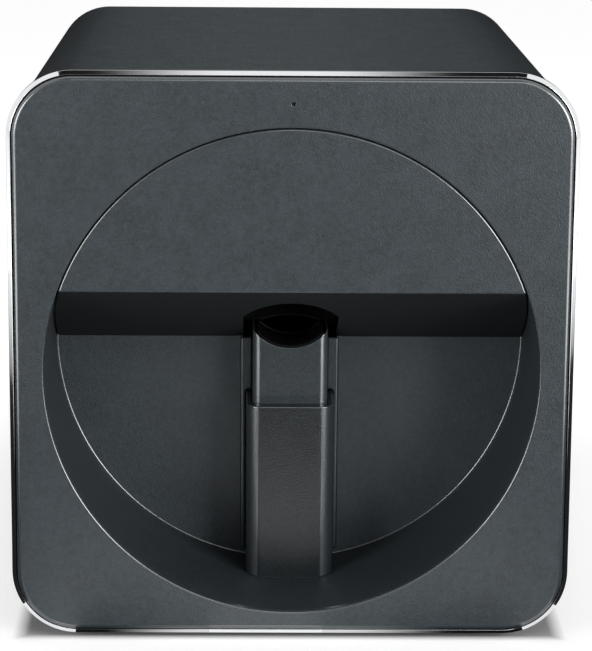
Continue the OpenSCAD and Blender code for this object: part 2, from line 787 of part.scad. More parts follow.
// One gantry block; inner face at a distance from the middle, drawn for the right
module gantry_block(inner, bottom) difference() {
    box([inner, gantry_y - block_half_y, bottom], [block_out, gantry_y + block_half_y, block_top]);
    bar_y(bush_r, side_rod_x, side_rod_z, gantry_y - block_half_y - 1, gantry_y + block_half_y + 1);
    for (z = [rod_low_z, rod_high_z]) bar_x(rod_r, gantry_y, z, inner - 1, rod_end);
}

module gantry_left() color("#33363a") difference() {
    mirror([1, 0, 0]) gantry_block(block_in_left, block_bottom);
    bar_y(shaft_r + 1, x_motor_x, belt_z, gantry_y - block_half_y - 1, gantry_y + block_half_y + 1);
}

module gantry_right() color("#33363a") difference() {
    gantry_block(block_in_right, screw_block_z);
    bar_y(idler_pin_r, idler_x, belt_z, gantry_y - block_half_y - 1, gantry_y);
    bar_y(nut_r, screw_x, screw_z, gantry_y - block_half_y - 1, gantry_y + block_half_y + 1);
}

module gantry_bushes() color("#b08d4a") for (sx = [-1, 1]) difference() {
    bar_y(bush_r, sx * side_rod_x, side_rod_z, gantry_y - block_half_y, gantry_y + block_half_y);
    bar_y(rod_r + rod_fit, sx * side_rod_x, side_rod_z,
        gantry_y - block_half_y - 1, gantry_y + block_half_y + 1);
}

module x_rods() color("#b9bdc1")
    for (z = [rod_low_z, rod_high_z]) bar_x(rod_r, gantry_y, z, -rod_end, rod_end);

module x_motor() color("#9a9da0") difference() {
    bar_y(x_motor_r, x_motor_x, belt_z, gantry_y + block_half_y, gantry_y + block_half_y + 18);
    bar_y(shaft_r + rod_fit, x_motor_x, belt_z, gantry_y + block_half_y - 1, gantry_y + block_half_y + 4);
}

module motor_shaft() color("#c2c6ca")
    bar_y(shaft_r, x_motor_x, belt_z, belt_front - belt_w / 2 - 1, gantry_y + block_half_y + 3);

// Toothed-belt pulley with two flanges
module pulley(x, bore) difference() {
    union() {
        bar_y(pulley_r, x, belt_z, belt_front - belt_w / 2 - 0.4, belt_front + belt_w / 2 + 0.4);
        for (y = [belt_front - belt_w / 2 - 1, belt_front + belt_w / 2 + 0.4])
            bar_y(pulley_r + 1.2, x, belt_z, y, y + 0.6);
    }
    bar_y(bore, x, belt_z, belt_front - 20, belt_front + 20);
}

module drive_pulley() color("#a9adb1") pulley(x_motor_x, shaft_r);

module idler_pulley() color("#a9adb1") pulley(idler_x, idler_pin_r + rod_fit);

module idler_pin() color("#8e9296") {
    bar_y(idler_pin_r, idler_x, belt_z, belt_front - belt_w / 2 - 1.3, gantry_y);
    bar_y(idler_pin_r + 1.5, idler_x, belt_z, belt_front - belt_w / 2 - 2.3, belt_front - belt_w / 2 - 1.3);
}

// Front-view outline of the belt's loop at a distance from the pulleys' centres
module belt_outline(r) translate([0, belt_z]) {
    translate([x_motor_x, -r]) square([idler_x - x_motor_x, 2 * r]);
    for (x = [x_motor_x, idler_x]) translate([x, 0]) circle(r);
}

module drive_belt() color("#141516") along_y(belt_front - belt_w / 2, belt_front + belt_w / 2) difference() {
    belt_outline(belt_r + belt_t);
    belt_outline(belt_r);
}

module belt_clamp() color(inner_colour) difference() {
    box([park_x - 8, belt_front - belt_w / 2 - 2, belt_z + 3],
        [park_x + 8, carriage_front, belt_z + belt_r + belt_t + 3]);
    box([park_x - 9, belt_front - belt_w / 2 - part_gap, belt_z + belt_r - part_gap],
        [park_x + 9, carriage_front + 1, belt_z + belt_r + belt_t + part_gap]);
}

module y_motor() color("#9a9da0") difference() {
    bar_y(y_motor_r, screw_x, screw_z, lug_back + lug_t, lug_back + lug_t + 18);
    bar_y(screw_r + rod_fit, screw_x, screw_z, lug_back + lug_t - 1, lug_back + lug_t + 5);
}

module lead_screw() color("#c2c6ca") bar_y(screw_r, screw_x, screw_z, lug_front, lug_back + lug_t + 4);

module lead_nut() color("#b08d4a") difference() {
    union() {
        bar_y(nut_r, screw_x, screw_z, gantry_y - block_half_y, gantry_y + block_half_y);
        bar_y(nut_r + 1.5, screw_x, screw_z, gantry_y + block_half_y, gantry_y + block_half_y + 1.5);
    }
    bar_y(screw_r + rod_fit, screw_x, screw_z, gantry_y - block_half_y - 1, gantry_y + block_half_y + 2);
}

// Carriage --------------------------------------------------------------------------------------

module carriage() color(inner_colour) {
    half = carriage_w / 2;
    wall_in = cartridge_w / 2 + part_gap;
    translate([park_x, 0, 0]) difference() {
        union() {
            box([-half, carriage_front, rod_low_z - 8], [half, gantry_y + 9, rod_high_z + 8]);
            box([-half, gantry_y + 9 - eps, cartridge_z - carriage_floor - 0.2],
                [half, carriage_back, cartridge_z - 0.2]);
            for (sx = [-1, 1]) {
                box([sx * (half + wall_in) / 2 - (half - wall_in) / 2, gantry_y + 9 - eps, cartridge_z - 0.3],
                    [sx * (half + wall_in) / 2 + (half - wall_in) / 2, carriage_back, cartridge_top - 16]);
                box([sx * (latch_half + 2) - 1.5, latch_y - 4, rod_high_z + 8 - eps],
                    [sx * (latch_half + 2) + 1.5, gantry_y + 9, latch_z + 3]);
                box([sx * (latch_half + 2) - 1.5, gantry_y + 9 - eps, latch_z - 2],
                    [sx * (latch_half + 2) + 1.5, latch_y + 3, latch_z + 3]);
            }
        }
        for (z = [rod_low_z, rod_high_z]) bar_x(bush_r, gantry_y, z, -half - 1, half + 1);
        box([-snout_half_x - 1, nozzle_y - snout_half_y - 1, cartridge_z - 4],
            [snout_half_x + 1, nozzle_y + snout_half_y + 1, cartridge_z + 1]);
        bar_x(latch_pin_r, latch_y, latch_z, -half, half);
    }
}

module carriage_bushes() color("#b08d4a") for (sx = [-1, 1], z = [rod_low_z, rod_high_z]) difference() {
    bar_x(bush_r, gantry_y, z,
        park_x + sx * (carriage_w / 2 - 6) - 6, park_x + sx * (carriage_w / 2 - 6) + 6);
    bar_x(rod_r + rod_fit, gantry_y, z, park_x - far / 10, park_x + far / 10);
}

module ink_cartridge() color("#101113") translate([park_x, 0, 0]) {
    box([-cartridge_w / 2, cartridge_y, cartridge_z], [cartridge_w / 2, cartridge_end, cartridge_top]);
    box([-snout_half_x, nozzle_y - snout_half_y, nozzle_z],
        [snout_half_x, nozzle_y + snout_half_y, cartridge_z + eps]);
    box([-10, cartridge_end - eps, cartridge_top - 22], [10, cartridge_end + 3, cartridge_top - 19]);
}

module cartridge_latch() color("#3c4044") translate([park_x, 0, 0]) difference() {
    union() {
        bar_x(2, latch_y, latch_z, -latch_half, latch_half);
        box([-latch_half, latch_y, latch_z - 1.8], [latch_half, cartridge_end + 3.4, latch_z + 1]);
        box([-latch_half, cartridge_end + 0.6, cartridge_top - 8],
            [latch_half, cartridge_end + 3.4, latch_z]);
    }
    bar_x(latch_pin_r + rod_fit, latch_y, latch_z, -latch_half - 1, latch_half + 1);
}

module latch_pin() color("#8e9296")
    bar_x(latch_pin_r, latch_y, latch_z, park_x - latch_half - 3.5, park_x + latch_half + 3.5);

// Capping station, camera, lights, electronics ----------------------------------------------------

module cap_stand() color(inner_colour) {
    cap_low = nozzle_z - part_gap - cap_t;
    box([park_x - 12, nozzle_y - 12, base_top], [park_x + 10, nozzle_y + 12, base_top + 3]);
    box([park_x - 5, nozzle_y - 5, base_top + 3 - eps], [park_x + 5, nozzle_y + 5, cap_low - 4]);
    box([park_x - 14, nozzle_y - 8, cap_low - 4 - eps], [park_x + 14, nozzle_y + 8, cap_low]);
}

module rubber_cap() color("#1c1d1e") difference() {
    low = nozzle_z - part_gap - cap_t;
    box([park_x - 13, nozzle_y - 7, low], [park_x + 13, nozzle_y + 7, nozzle_z - part_gap]);
    box([park_x - 10, nozzle_y - 4.5, low + 1], [park_x + 10, nozzle_y + 4.5, nozzle_z]);
}

module camera_place() translate([0, camera_y, camera_z]) rotate([camera_tilt, 0, 0]) children();

module camera_bracket() color(inner_colour) {
    box([-12, panel_back, camera_z - 22], [12, panel_back + 2, camera_z + 10]);
    for (x = [-12, 10]) intersection() {
        box([x, panel_back + 2 - eps, camera_z - 22], [x + 2, far, camera_z + 10]);
        difference() {
            camera_place() translate([0, 0, 10 - far / 2]) cube([far, far, far], center = true);
            camera_place() translate([0, far / 2 - 9.2, 0]) cube([far, far, 16], center = true);
            camera_place() translate([0, 0, -far / 2]) cube([far, far, far], center = true);
        }
    }
    camera_place() box([-12, -9.2, 8], [12, 9.2, 10]);
}

module camera_body() color("#17181a") camera_place() {
    box([-9, -9, 0], [9, 9, 8]);
    translate([0, 0, -5]) difference() {
        cylinder(r = 5, h = 5 + eps);
        translate([0, 0, -1]) cylinder(r = 4, h = 4);
    }
}

module camera_lens() color("#20304a") camera_place() translate([0, 0, -4.5]) cylinder(r = 3.95, h = 2.5);

module light_board() color("#e8e8e0") {
    y = recess_back + stop_t;
    box([-light_half, y, stop_z + 3], [light_half, y + 1.4, stop_z + 14]);
    for (i = [-2:2]) box([i * 6 - 1, y + 1.4 - eps, stop_z + 6], [i * 6 + 1, y + 2.2, stop_z + 9]);
}

module main_board() color("#1f5a3a") {
    difference() {
        box([-board_half, board_front, board_z], [board_half, board_back, board_top]);
        board_post_places() translate([0, 0, board_z - 1]) cylinder(r = 1.2, h = board_t + 2);
    }
    // Sockets and chips: left edge, front edge, width, depth, height
    for (c = [
        [18 - board_half, board_back - 26, 16, 12, 9],
        [-14, board_back - 20, 10, 10, 3],
        [board_half - 26, board_back - 18, 18, 9, 8],
        [board_half - 22, board_front + 24, 14, 14, 2],
        [20 - board_half, board_front + 20, 20, 7, 6]
    ]) box([c[0], c[1], board_top - eps], [c[0] + c[2], c[1] + c[3], board_top + c[4]]);
    for (x = [-20, -8]) translate([x, board_front + 12, board_top - eps]) cylinder(r = 4, h = 11);
}

module heat_sink() color("#9a9da0") {
    box([-sink_half, sink_front, board_top], [sink_half, sink_back, board_top + 3]);
    for (x = [-sink_half:fin_pitch:sink_half - fin_t])
        box([x, sink_front, board_top + 3 - eps], [x + fin_t, sink_back, board_top + sink_h]);
}

front_panel();
trim_ring();
wrap_cover();
base_plate();
rear_panel();
rear_door();
door_pins();
catch_magnet();
catch_plate();
rubber_feet();
base_screws();
rear_screws();
power_button();
power_switch();
power_jack();
status_lens();
status_board();
hand_well();
hood_shell();
tunnel_liner();
nail_stop();
well_screws();
hood_screws();
finger_sleeve();
finger_rest();
finger_pad();
rest_spring();
spring_post();
stop_pin();
left_frame();
right_frame();
frame_screws();
y_rods();
gantry_left();
gantry_right();
gantry_bushes();
x_rods();
x_motor();
motor_shaft();
drive_pulley();
idler_pulley();
idler_pin();
drive_belt();
belt_clamp();
y_motor();
lead_screw();
lead_nut();
carriage();
carriage_bushes();
ink_cartridge();
cartridge_latch();
latch_pin();
cap_stand();
rubber_cap();
camera_bracket();
camera_body();
camera_lens();
light_board();
main_board();
heat_sink();
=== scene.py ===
import json
import math
from contextlib import contextmanager

import bmesh
import bpy
from bpy.props import FloatProperty, FloatVectorProperty, IntProperty, PointerProperty
from bpy.types import Operator, Panel, PropertyGroup
from mathutils import Matrix, Vector


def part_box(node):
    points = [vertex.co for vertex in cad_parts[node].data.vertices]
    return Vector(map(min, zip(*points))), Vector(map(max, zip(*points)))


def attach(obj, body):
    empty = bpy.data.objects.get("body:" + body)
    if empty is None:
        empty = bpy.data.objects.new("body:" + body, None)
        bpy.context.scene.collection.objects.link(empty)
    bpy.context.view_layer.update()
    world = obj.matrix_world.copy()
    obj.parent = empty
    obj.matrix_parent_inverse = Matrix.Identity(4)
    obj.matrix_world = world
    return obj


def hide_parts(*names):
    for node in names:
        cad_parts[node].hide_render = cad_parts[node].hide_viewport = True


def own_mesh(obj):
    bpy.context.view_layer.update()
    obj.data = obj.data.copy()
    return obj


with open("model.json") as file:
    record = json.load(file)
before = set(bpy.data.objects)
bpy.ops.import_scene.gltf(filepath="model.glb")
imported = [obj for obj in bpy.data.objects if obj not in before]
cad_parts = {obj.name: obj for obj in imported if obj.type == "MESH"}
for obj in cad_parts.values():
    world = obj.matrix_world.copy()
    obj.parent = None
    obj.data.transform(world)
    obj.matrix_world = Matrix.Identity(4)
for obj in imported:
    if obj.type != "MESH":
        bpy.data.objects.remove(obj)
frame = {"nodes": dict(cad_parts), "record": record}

bl_info = {
    "name": "Nail printer dressing",
    "version": (1, 0, 0),
    "blender": (4, 5, 0),
    "location": "3D View > Sidebar > Nail Printer",
    "description": "Dresses the packed solids of a desktop nail printer with detailed pieces",
    "category": "Object",
}

NODES = frame["nodes"]
NODE_BODY = {n: b for b, ns in frame["record"]["behaviour"]["bodies"].items() for n in ns}
NODE_SLOT = {entry["node"]: entry["material_slot"] for entry in frame["record"]["subparts"]}
MM = 0.001
QUARTER_TURN, HALF_TURN, TURN = math.pi / 2, math.pi, 2 * math.pi

# Limits, as distances in metres and angles in degrees
WELD = 1e-7           # joins corners that were made twice
SOLID_MERGE = 2e-6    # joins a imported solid's doubled corners
LOOSE_MERGE = 4e-5    # joins near corners that would narrow a rounding
SHARP_ABOVE = 38      # edges that stay sharp in the shading
ROUND_ABOVE = 30      # edges that are rounded
FLAT = 0.9995         # Y share of a normal above which a face counts as flat to the front

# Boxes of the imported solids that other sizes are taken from
PANEL_LO, PANEL_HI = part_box("front_panel")
TRIM_LO, TRIM_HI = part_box("trim_ring")
WELL_LO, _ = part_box("hand_well")
HOOD_LO, HOOD_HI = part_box("hood_shell")
REST_LO, REST_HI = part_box("finger_rest")
_, SLEEVE_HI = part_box("finger_sleeve")
HOOD_EDGE = 133.0 * MM   # height of the hood's straight lower edge


# Sizes and colours ---------------------------------------------------------------------------------

def length(name, description, millimetres, low=0.0):
    return FloatProperty(name=name, description=description, default=millimetres * MM, min=low * MM,
                         subtype="DISTANCE", unit="LENGTH", precision=5)


def tint(name, description, rgb):
    return FloatVectorProperty(name=name, description=description, default=rgb, size=3,
                               min=0.0, max=1.0, subtype="COLOR")


def level(name, description, value, low=0.0, **limits):
    return FloatProperty(name=name, description=description, default=value, min=low, **limits)


class CasingSizes(PropertyGroup):
    panel_round: length("Panel edge", "Rounding of the front panel's outer edge", 1.7)
    panel_lap: length("Panel overlap", "How far the panel's edge laps over the trim", 1.1)
    opening_round: length("Opening edge", "Rounding of the round opening's edge", 0.7)
    disc_round: length("Hood disc edge", "Rounding of the hood disc's edge", 0.65)
    corner_radius: length("Corner radius", "Corner radius of the trim's outline", 24.0)
    trim_width: length("Trim width", "Width of trim seen round the panel", 3.2)
    trim_chamfer: length("Trim chamfer", "Width of the trim's sloped front band", 1.58)
    trim_round: length("Trim edge", "Rounding of the trim's edges", 0.25)
    opening_radius: length("Opening radius", "Radius of the round opening", 90.4)
    opening_centre: length("Opening centre", "Height of the round opening's centre", 102.5)
    inner_round: length("Recess fillet", "Rounding where the recess wall meets the back plate", 0.7)
    rest_round: length("Finger rest edge", "Rounding of the finger rest's front corners", 3.4)


class DriveSizes(PropertyGroup):
    tooth_pitch: length("Belt tooth pitch", "Distance between the belt's teeth", 2.5, 1.0)
    thread_pitch: length("Thread pitch", "Distance between the lead screw's threads", 2.0, 0.5)
    spring_turns: IntProperty(name="Spring turns", description="Turns of the finger rest's spring",
                              default=9, min=3, max=20)
    spring_wire: length("Spring wire", "Diameter of the spring's wire", 1.1, 0.2)


class Finishes(PropertyGroup):
    casing: tint("Casing", "Colour of the casing's moulded plastic", (0.0262, 0.0342, 0.0392))
    inner: tint("Inner mouldings", "Colour of the inner plastic", (0.020, 0.022, 0.024))
    chrome: tint("Chrome", "Colour of the front trim", (0.80, 0.815, 0.83))
    lining: tint("Lining", "Colour of the finger groove's lining", (0.002, 0.002, 0.0025))
    rubber: tint("Rubber", "Colour of the feet and the cap", (0.012, 0.012, 0.013))
    steel: tint("Steel", "Colour of screws, pins and rods", (0.56, 0.57, 0.58))
    frame_steel: tint("Side frames", "Colour of the coated side frames", (0.16, 0.17, 0.18))
    brass: tint("Bronze", "Colour of bushes and the nut", (0.46, 0.30, 0.12))
    board: tint("Circuit board", "Colour of the solder mask", (0.010, 0.085, 0.040))
    roughness: level("Casing roughness", "Roughness of the moulded casing", 0.40, 0.05, max=1.0)
    edge_roughness: level("Edge roughness", "Roughness of the edges with painted highlights", 0.22, 0.05, max=1.0)


class StageLevels(PropertyGroup):
    right: level("Right softbox", "Power of the tall softbox at the right", 15.0, unit="POWER")
    left: level("Left softbox", "Power of the tall softbox at the left", 9.0, unit="POWER")
    front: level("Front light", "Power of the high front light", 4.0, unit="POWER")
    top: level("Top light", "Power of the light over the top cover", 6.0, unit="POWER")
    fill: level("Surroundings", "Level of the light from all around", 0.07)
    bounce: level("Floor bounce", "Tone of the floor as the object's lighting sees it", 0.11)
    backdrop: tint("Backdrop", "Colour of the floor and the backdrop", (1.0, 1.0, 1.0))


# Meshes --------------------------------------------------------------------------------------------

def collect(obj):
    bpy.context.scene.collection.objects.link(obj)
    return obj


@contextmanager
def editing(obj):
    """An object's mesh to edit, written back when the block ends."""
    bm = bmesh.new()
    bm.from_mesh(obj.data)
    yield bm
    bm.to_mesh(obj.data)
    bm.free()


def made(name, bm, turn_outwards=True):
    """A new object with the faces that were built."""
    if turn_outwards:
        bmesh.ops.recalc_face_normals(bm, faces=bm.faces)
    mesh = bpy.data.meshes.new(name)
    bm.to_mesh(mesh)
    bm.free()
    return collect(bpy.data.objects.new(name, mesh))


def baked(obj):
    """The evaluated shape of an object as a plain mesh on a new object; the old one goes."""
    bpy.context.view_layer.update()
    depsgraph = bpy.context.evaluated_depsgraph_get()
    mesh = bpy.data.meshes.new_from_object(obj.evaluated_get(depsgraph), preserve_all_data_layers=True,
                                           depsgraph=depsgraph)
    name = obj.name
    bpy.data.objects.remove(obj)
    mesh.name = name
    return collect(bpy.data.objects.new(name, mesh))


def outward(obj):
    """Turns a closed mesh's faces outwards."""
    with editing(obj) as bm:
        bmesh.ops.remove_doubles(bm, verts=bm.verts, dist=WELD)
        bmesh.ops.recalc_face_normals(bm, faces=bm.faces)
    return obj


def finished(obj, finish=None, node=None, body="case", sharp=SHARP_ABOVE):
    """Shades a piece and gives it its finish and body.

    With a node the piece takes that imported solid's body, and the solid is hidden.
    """
    with editing(obj) as bm:
        for face in bm.faces:
            face.smooth = True
        for edge in bm.edges:
            edge.smooth = not (edge.is_manifold and edge.calc_face_angle(0.0) > math.radians(sharp))
    if finish:
        obj.data.materials.clear()
        obj.data.materials.append(FINISH[finish])
    weigh = obj.modifiers.new("Weighted normals", "WEIGHTED_NORMAL")
    weigh.keep_sharp = True
    weigh.weight = 90
    obj = baked(obj)
    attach(obj, NODE_BODY[node] if node else body)
    if node:
        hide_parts(node)
    return obj


def solid_copy(node, name=None):
    """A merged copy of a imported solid, with its flat faces joined."""
    name = name or node + "_dressed"
    mesh = NODES[node].data.copy()
    mesh.name = name
    mesh.materials.clear()
    obj = collect(bpy.data.objects.new(name, mesh))
    with editing(obj) as bm:
        bmesh.ops.remove_doubles(bm, verts=bm.verts, dist=SOLID_MERGE)
        bmesh.ops.dissolve_limit(bm, angle_limit=math.radians(0.2), verts=bm.verts, edges=bm.edges)
    return obj


def rounded(obj, width, segments=3, body=None, edge=None, clamp=True, split=False):
    """Rounds an object's edges; body and edge are the finishes of its faces and of the rounding.

    Without the clamp its nearest corners are merged first, so that the width holds. Split cuts its
    flat faces into triangles, which suits faces with many holes.
    """
    with editing(obj) as bm:
        if split:
            bmesh.ops.triangulate(bm, faces=bm.faces)
        if not clamp:
            bmesh.ops.remove_doubles(bm, verts=bm.verts, dist=LOOSE_MERGE)
            bmesh.ops.dissolve_limit(bm, angle_limit=math.radians(0.3), verts=bm.verts, edges=bm.edges)
    if body:
        obj.data.materials.clear()
        obj.data.materials.append(FINISH[body])
    bevel = obj.modifiers.new("Rounding", "BEVEL")
    if edge:
        obj.data.materials.append(FINISH[edge])
        bevel.material = 1
    bevel.width = width
    bevel.segments = segments
    bevel.limit_method = "ANGLE"
    bevel.angle_limit = math.radians(ROUND_ABOVE)
    bevel.miter_outer = "MITER_ARC"
    bevel.use_clamp_overlap = clamp
    bevel.loop_slide = not split
    return baked(obj)


def circle_loop(cx, cz, radius, steps, start=0.0, sweep=TURN):
    """Points on a circle or an arc, anticlockwise."""
    count = steps if sweep == TURN else steps + 1
    return [(cx + radius * math.cos(start + sweep * i / steps),
             cz + radius * math.sin(start + sweep * i / steps)) for i in range(count)]


def rounded_rectangle(x0, z0, x1, z1, radius, steps):
    """Outline with round corners, anticlockwise."""
    points = []
    for cx, cz, start in ((x1 - radius, z1 - radius, 0.0), (x0 + radius, z1 - radius, 0.5),
                          (x0 + radius, z0 + radius, 1.0), (x1 - radius, z0 + radius, 1.5)):
        points += circle_loop(cx, cz, radius, steps, start * math.pi, 0.5 * math.pi)
    return points


def softened(points, radii, steps=5):
    """Closed section with each corner turned into an arc of its own radius."""
    out = []
    for i, (point, radius) in enumerate(zip(points, radii)):
        here = Vector(point)
        back = Vector(points[i - 1]) - here
        ahead = Vector(points[(i + 1) % len(points)]) - here
        half = back.angle(ahead) / 2
        if radius <= 0 or half > math.radians(88):
            out.append(tuple(here))
            continue
        reach = min(radius / math.tan(half), back.length * 0.49, ahead.length * 0.49)
        radius = reach * math.tan(half)
        a, b = here + back.normalized() * reach, here + ahead.normalized() * reach
        centre = here + (back.normalized() + ahead.normalized()).normalized() * (radius / math.sin(half))
        for k in range(steps + 1):
            spoke = (a - centre).lerp(b - centre, k / steps)
            out.append(tuple(centre + spoke.normalized() * radius))
    return out


def quarter(depth, steps):
    """(inward, back) offsets of a quarter round from the flat front to the side."""
    angles = [QUARTER_TURN * i / steps for i in range(steps + 1)]
    return [(depth * (1 - math.sin(a)), depth * (1 - math.cos(a))) for a in angles]


def bridge(bm, ring, following):
    """Faces between two closed rings of as many corners."""
    for i in range(len(ring)):
        j = (i + 1) % len(ring)
        bm.faces.new((ring[i], ring[j], following[j], following[i]))


def faced(name, rims):
    """Plate with a front and a back face; each rim is a list of (loop, y) from front to back."""
    bm = bmesh.new()
    ends = ([], [])
    for rim in rims:
        rings = [[bm.verts.new((x, y, z)) for x, z in loop] for loop, y in rim]
        for ring, following in zip(rings, rings[1:]):
            bridge(bm, ring, following)
        for side, ring in zip(ends, (rings[0], rings[-1])):
            side.extend(bm.edges.get((ring[i], ring[(i + 1) % len(ring)])) for i in range(len(ring)))
    for edges in ends:
        bmesh.ops.triangle_fill(bm, use_beauty=True, use_dissolve=False, edges=edges)
    return made(name, bm)


def extruded(name, loops, y0, y1):
    """Solid between two planes across Y, from an outer loop and hole loops of (x, z) points."""
    return faced(name, [[(loop, y0), (loop, y1)] for loop in loops])


def block(name, low, high):
    """Cutting or joining block between two corners."""
    return extruded(name, [[(low[0], low[2]), (high[0], low[2]), (high[0], high[2]), (low[0], high[2])]],
                    low[1], high[1])


def swapped(obj, first, second):
    """Swaps two of a shape's axes, so that a solid extruded along Y lies along another."""
    rows = [list(row) for row in Matrix.Identity(4)]
    rows[first], rows[second] = rows[second], rows[first]
    obj.data.transform(Matrix(rows))
    return outward(obj)


def revolved(name, section, centre, axis="Y", steps=96, start=0.0, sweep=TURN):
    """Closed section of (radius, along) points turned round an axis, Y or Z, through a centre."""
    whole = sweep == TURN
    bm = bmesh.new()
    rings = []
    for i in range(steps if whole else steps + 1):
        ca, sa = math.cos(start + sweep * i / steps), math.sin(start + sweep * i / steps)
        turned = [(r * ca, r * sa, along) if axis == "Z" else (r * ca, along, r * sa)
                  for r, along in section]
        rings.append([bm.verts.new(Vector(point) + Vector(centre)) for point in turned])
    for ring, following in zip(rings, rings[1:] + (rings[:1] if whole else [])):
        bridge(bm, ring, following)
    if not whole:
        bm.faces.new(rings[0])
        bm.faces.new(list(reversed(rings[-1])))
    bmesh.ops.remove_doubles(bm, verts=bm.verts, dist=WELD)
    bmesh.ops.dissolve_degenerate(bm, edges=bm.edges, dist=1e-8)
    return made(name, bm)


def combined(obj, operation, *tools):
    """Joins the tools' shapes to an object (UNION) or takes them out of it (DIFFERENCE)."""
    for tool in tools:
        step = obj.modifiers.new("Combine", "BOOLEAN")
        step.operation = operation
        step.solver = "EXACT"
        step.object = tool
    result = baked(obj)
    for tool in tools:
        bpy.data.objects.remove(tool)
    return result


def joined(name, *objs):
    """One mesh from several, each with its own materials kept."""
    bm = bmesh.new()
    materials = []
    for obj in objs:
        places = []
        for material in obj.data.materials:
            if material not in materials:
                materials.append(material)
            places.append(materials.index(material))
        known = len(bm.faces)
        bm.from_mesh(obj.data)
        bm.faces.ensure_lookup_table()
        for face in bm.faces[known:]:
            face.material_index = places[face.material_index] if places else 0
    result = made(name, bm, turn_outwards=False)
    for material in materials:
        result.data.materials.append(material)
    for obj in objs:
        bpy.data.objects.remove(obj)
    return result


def painted(obj, finishes, choose):
    """Gives each face the finish at the place in the list that choose(centre, normal) returns."""
    obj.data.materials.clear()
    for finish in finishes:
        obj.data.materials.append(FINISH[finish])
    for face in obj.data.polygons:
        face.material_index = choose(face.center, face.normal)
    return obj


def corners_with_painted_highlight(obj, finish):
    """Gives an upright part's round front corners a lighter, glossier finish: a painted highlight."""
    obj.data.materials.append(FINISH[finish])
    for face in obj.data.polygons:
        x, y, z = face.normal
        if face.material_index == 0 and abs(z) < 0.3 and 0.2 < abs(x) < 0.97 and y < 0:
            face.material_index = len(obj.data.materials) - 1
    return obj


def islands(node):
    """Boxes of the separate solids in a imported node, lowest corner and highest corner."""
    bm = bmesh.new()
    bm.from_mesh(NODES[node].data)
    bmesh.ops.remove_doubles(bm, verts=bm.verts, dist=SOLID_MERGE)
    seen, boxes = set(), []
    for start in bm.verts:
        if start in seen:
            continue
        stack, members = [start], []
        seen.add(start)
        while stack:
            vert = stack.pop()
            members.append(vert.co.copy())
            for edge in vert.link_edges:
                other = edge.other_vert(vert)
                if other not in seen:
                    seen.add(other)
                    stack.append(other)
        boxes.append((Vector([min(c[i] for c in members) for i in range(3)]),
                      Vector([max(c[i] for c in members) for i in range(3)])))
    bm.free()
    return boxes


def along_y(node):
    """A node's lowest and highest corner, and the point that its axis along Y goes through."""
    low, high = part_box(node)
    return low, high, ((low.x + high.x) / 2, 0, (low.z + high.z) / 2)


# Geometry node trees ---------------------------------------------------------------------------------

class Recipe:
    """Geometry node tree with named inputs that ends in Realize Instances and Set Material."""

    def __init__(self, name, inputs):
        self.tree = bpy.data.node_groups.new(name, "GeometryNodeTree")
        face = self.tree.interface
        face.new_socket("Geometry", in_out="INPUT", socket_type="NodeSocketGeometry")
        for socket, kind, value in inputs + [("Material", "Material", None)]:
            made_socket = face.new_socket(socket, in_out="INPUT", socket_type="NodeSocket" + kind)
            if value is not None:
                made_socket.default_value = value
        face.new_socket("Geometry", in_out="OUTPUT", socket_type="NodeSocketGeometry")
        self.source = self.tree.nodes.new("NodeGroupInput")
        self.sink = self.tree.nodes.new("NodeGroupOutput")

    def node(self, kind, links=None, **values):
        """A new node; links gives its inputs by name, values its settings."""
        new = self.tree.nodes.new(kind)
        for key, value in values.items():
            setattr(new, key, value)
        for name, entry in (links or {}).items():
            if isinstance(entry, bpy.types.NodeSocket):
                self.tree.links.new(entry, new.inputs[name])
            else:
                new.inputs[name].default_value = entry
        return new

    def given(self, name):
        return self.source.outputs[name]

    def end(self, geometry):
        real = self.node("GeometryNodeRealizeInstances", {"Geometry": geometry})
        coloured = self.node("GeometryNodeSetMaterial", {"Geometry": real.outputs[0],
                                                         "Material": self.given("Material")})
        self.tree.links.new(coloured.outputs[0], self.sink.inputs["Geometry"])
        return self

    def run(self, name, mesh, **inputs):
        """Runs the tree on a mesh and returns the plain result."""
        obj = collect(bpy.data.objects.new(name, mesh))
        step = obj.modifiers.new("Recipe", "NODES")
        step.node_group = self.tree
        known = {item.name: item.identifier for item in self.tree.interface.items_tree
                 if item.item_type == "SOCKET" and item.in_out == "INPUT"}
        for key, value in inputs.items():
            step[known[key.replace("_", " ")]] = value
        return baked(obj)


def polyline(name, points, closed=False):
    """Mesh of edges only, for a tree to read as a curve."""
    mesh = bpy.data.meshes.new(name)
    n = len(points)
    edges = [(i, (i + 1) % n) for i in range(n if closed else n - 1)]
    mesh.from_pydata([tuple(p) for p in points], edges, [])
    return mesh


def outline_sweep_recipe():
    """Sweeps the incoming section round a rounded rectangle that stands upright."""
    recipe = Recipe("Outline sweep", [
        ("Width", "Float", 0.206), ("Height", "Float", 0.210), ("Corner Radius", "Float", 0.024),
        ("Centre", "Vector", (0, 0, 0)), ("Corner Steps", "Int", 24)])
    rectangle = recipe.node("GeometryNodeCurvePrimitiveQuadrilateral",
                            {"Width": recipe.given("Width"), "Height": recipe.given("Height")})
    fillet = recipe.node("GeometryNodeFilletCurve", {
        "Curve": rectangle.outputs[0], "Radius": recipe.given("Corner Radius"),
        "Count": recipe.given("Corner Steps")}, mode="POLY")
    upright = recipe.node("GeometryNodeSetCurveNormal", {"Curve": fillet.outputs[0]}, mode="Z_UP")
    section = recipe.node("GeometryNodeMeshToCurve", {"Mesh": recipe.given("Geometry")})
    swept = recipe.node("GeometryNodeCurveToMesh", {
        "Curve": upright.outputs[0], "Profile Curve": section.outputs[0]})
    stood = recipe.node("GeometryNodeTransform", {
        "Geometry": swept.outputs[0], "Rotation": (QUARTER_TURN, 0, 0),
        "Translation": recipe.given("Centre")})
    return recipe.end(stood.outputs[0])


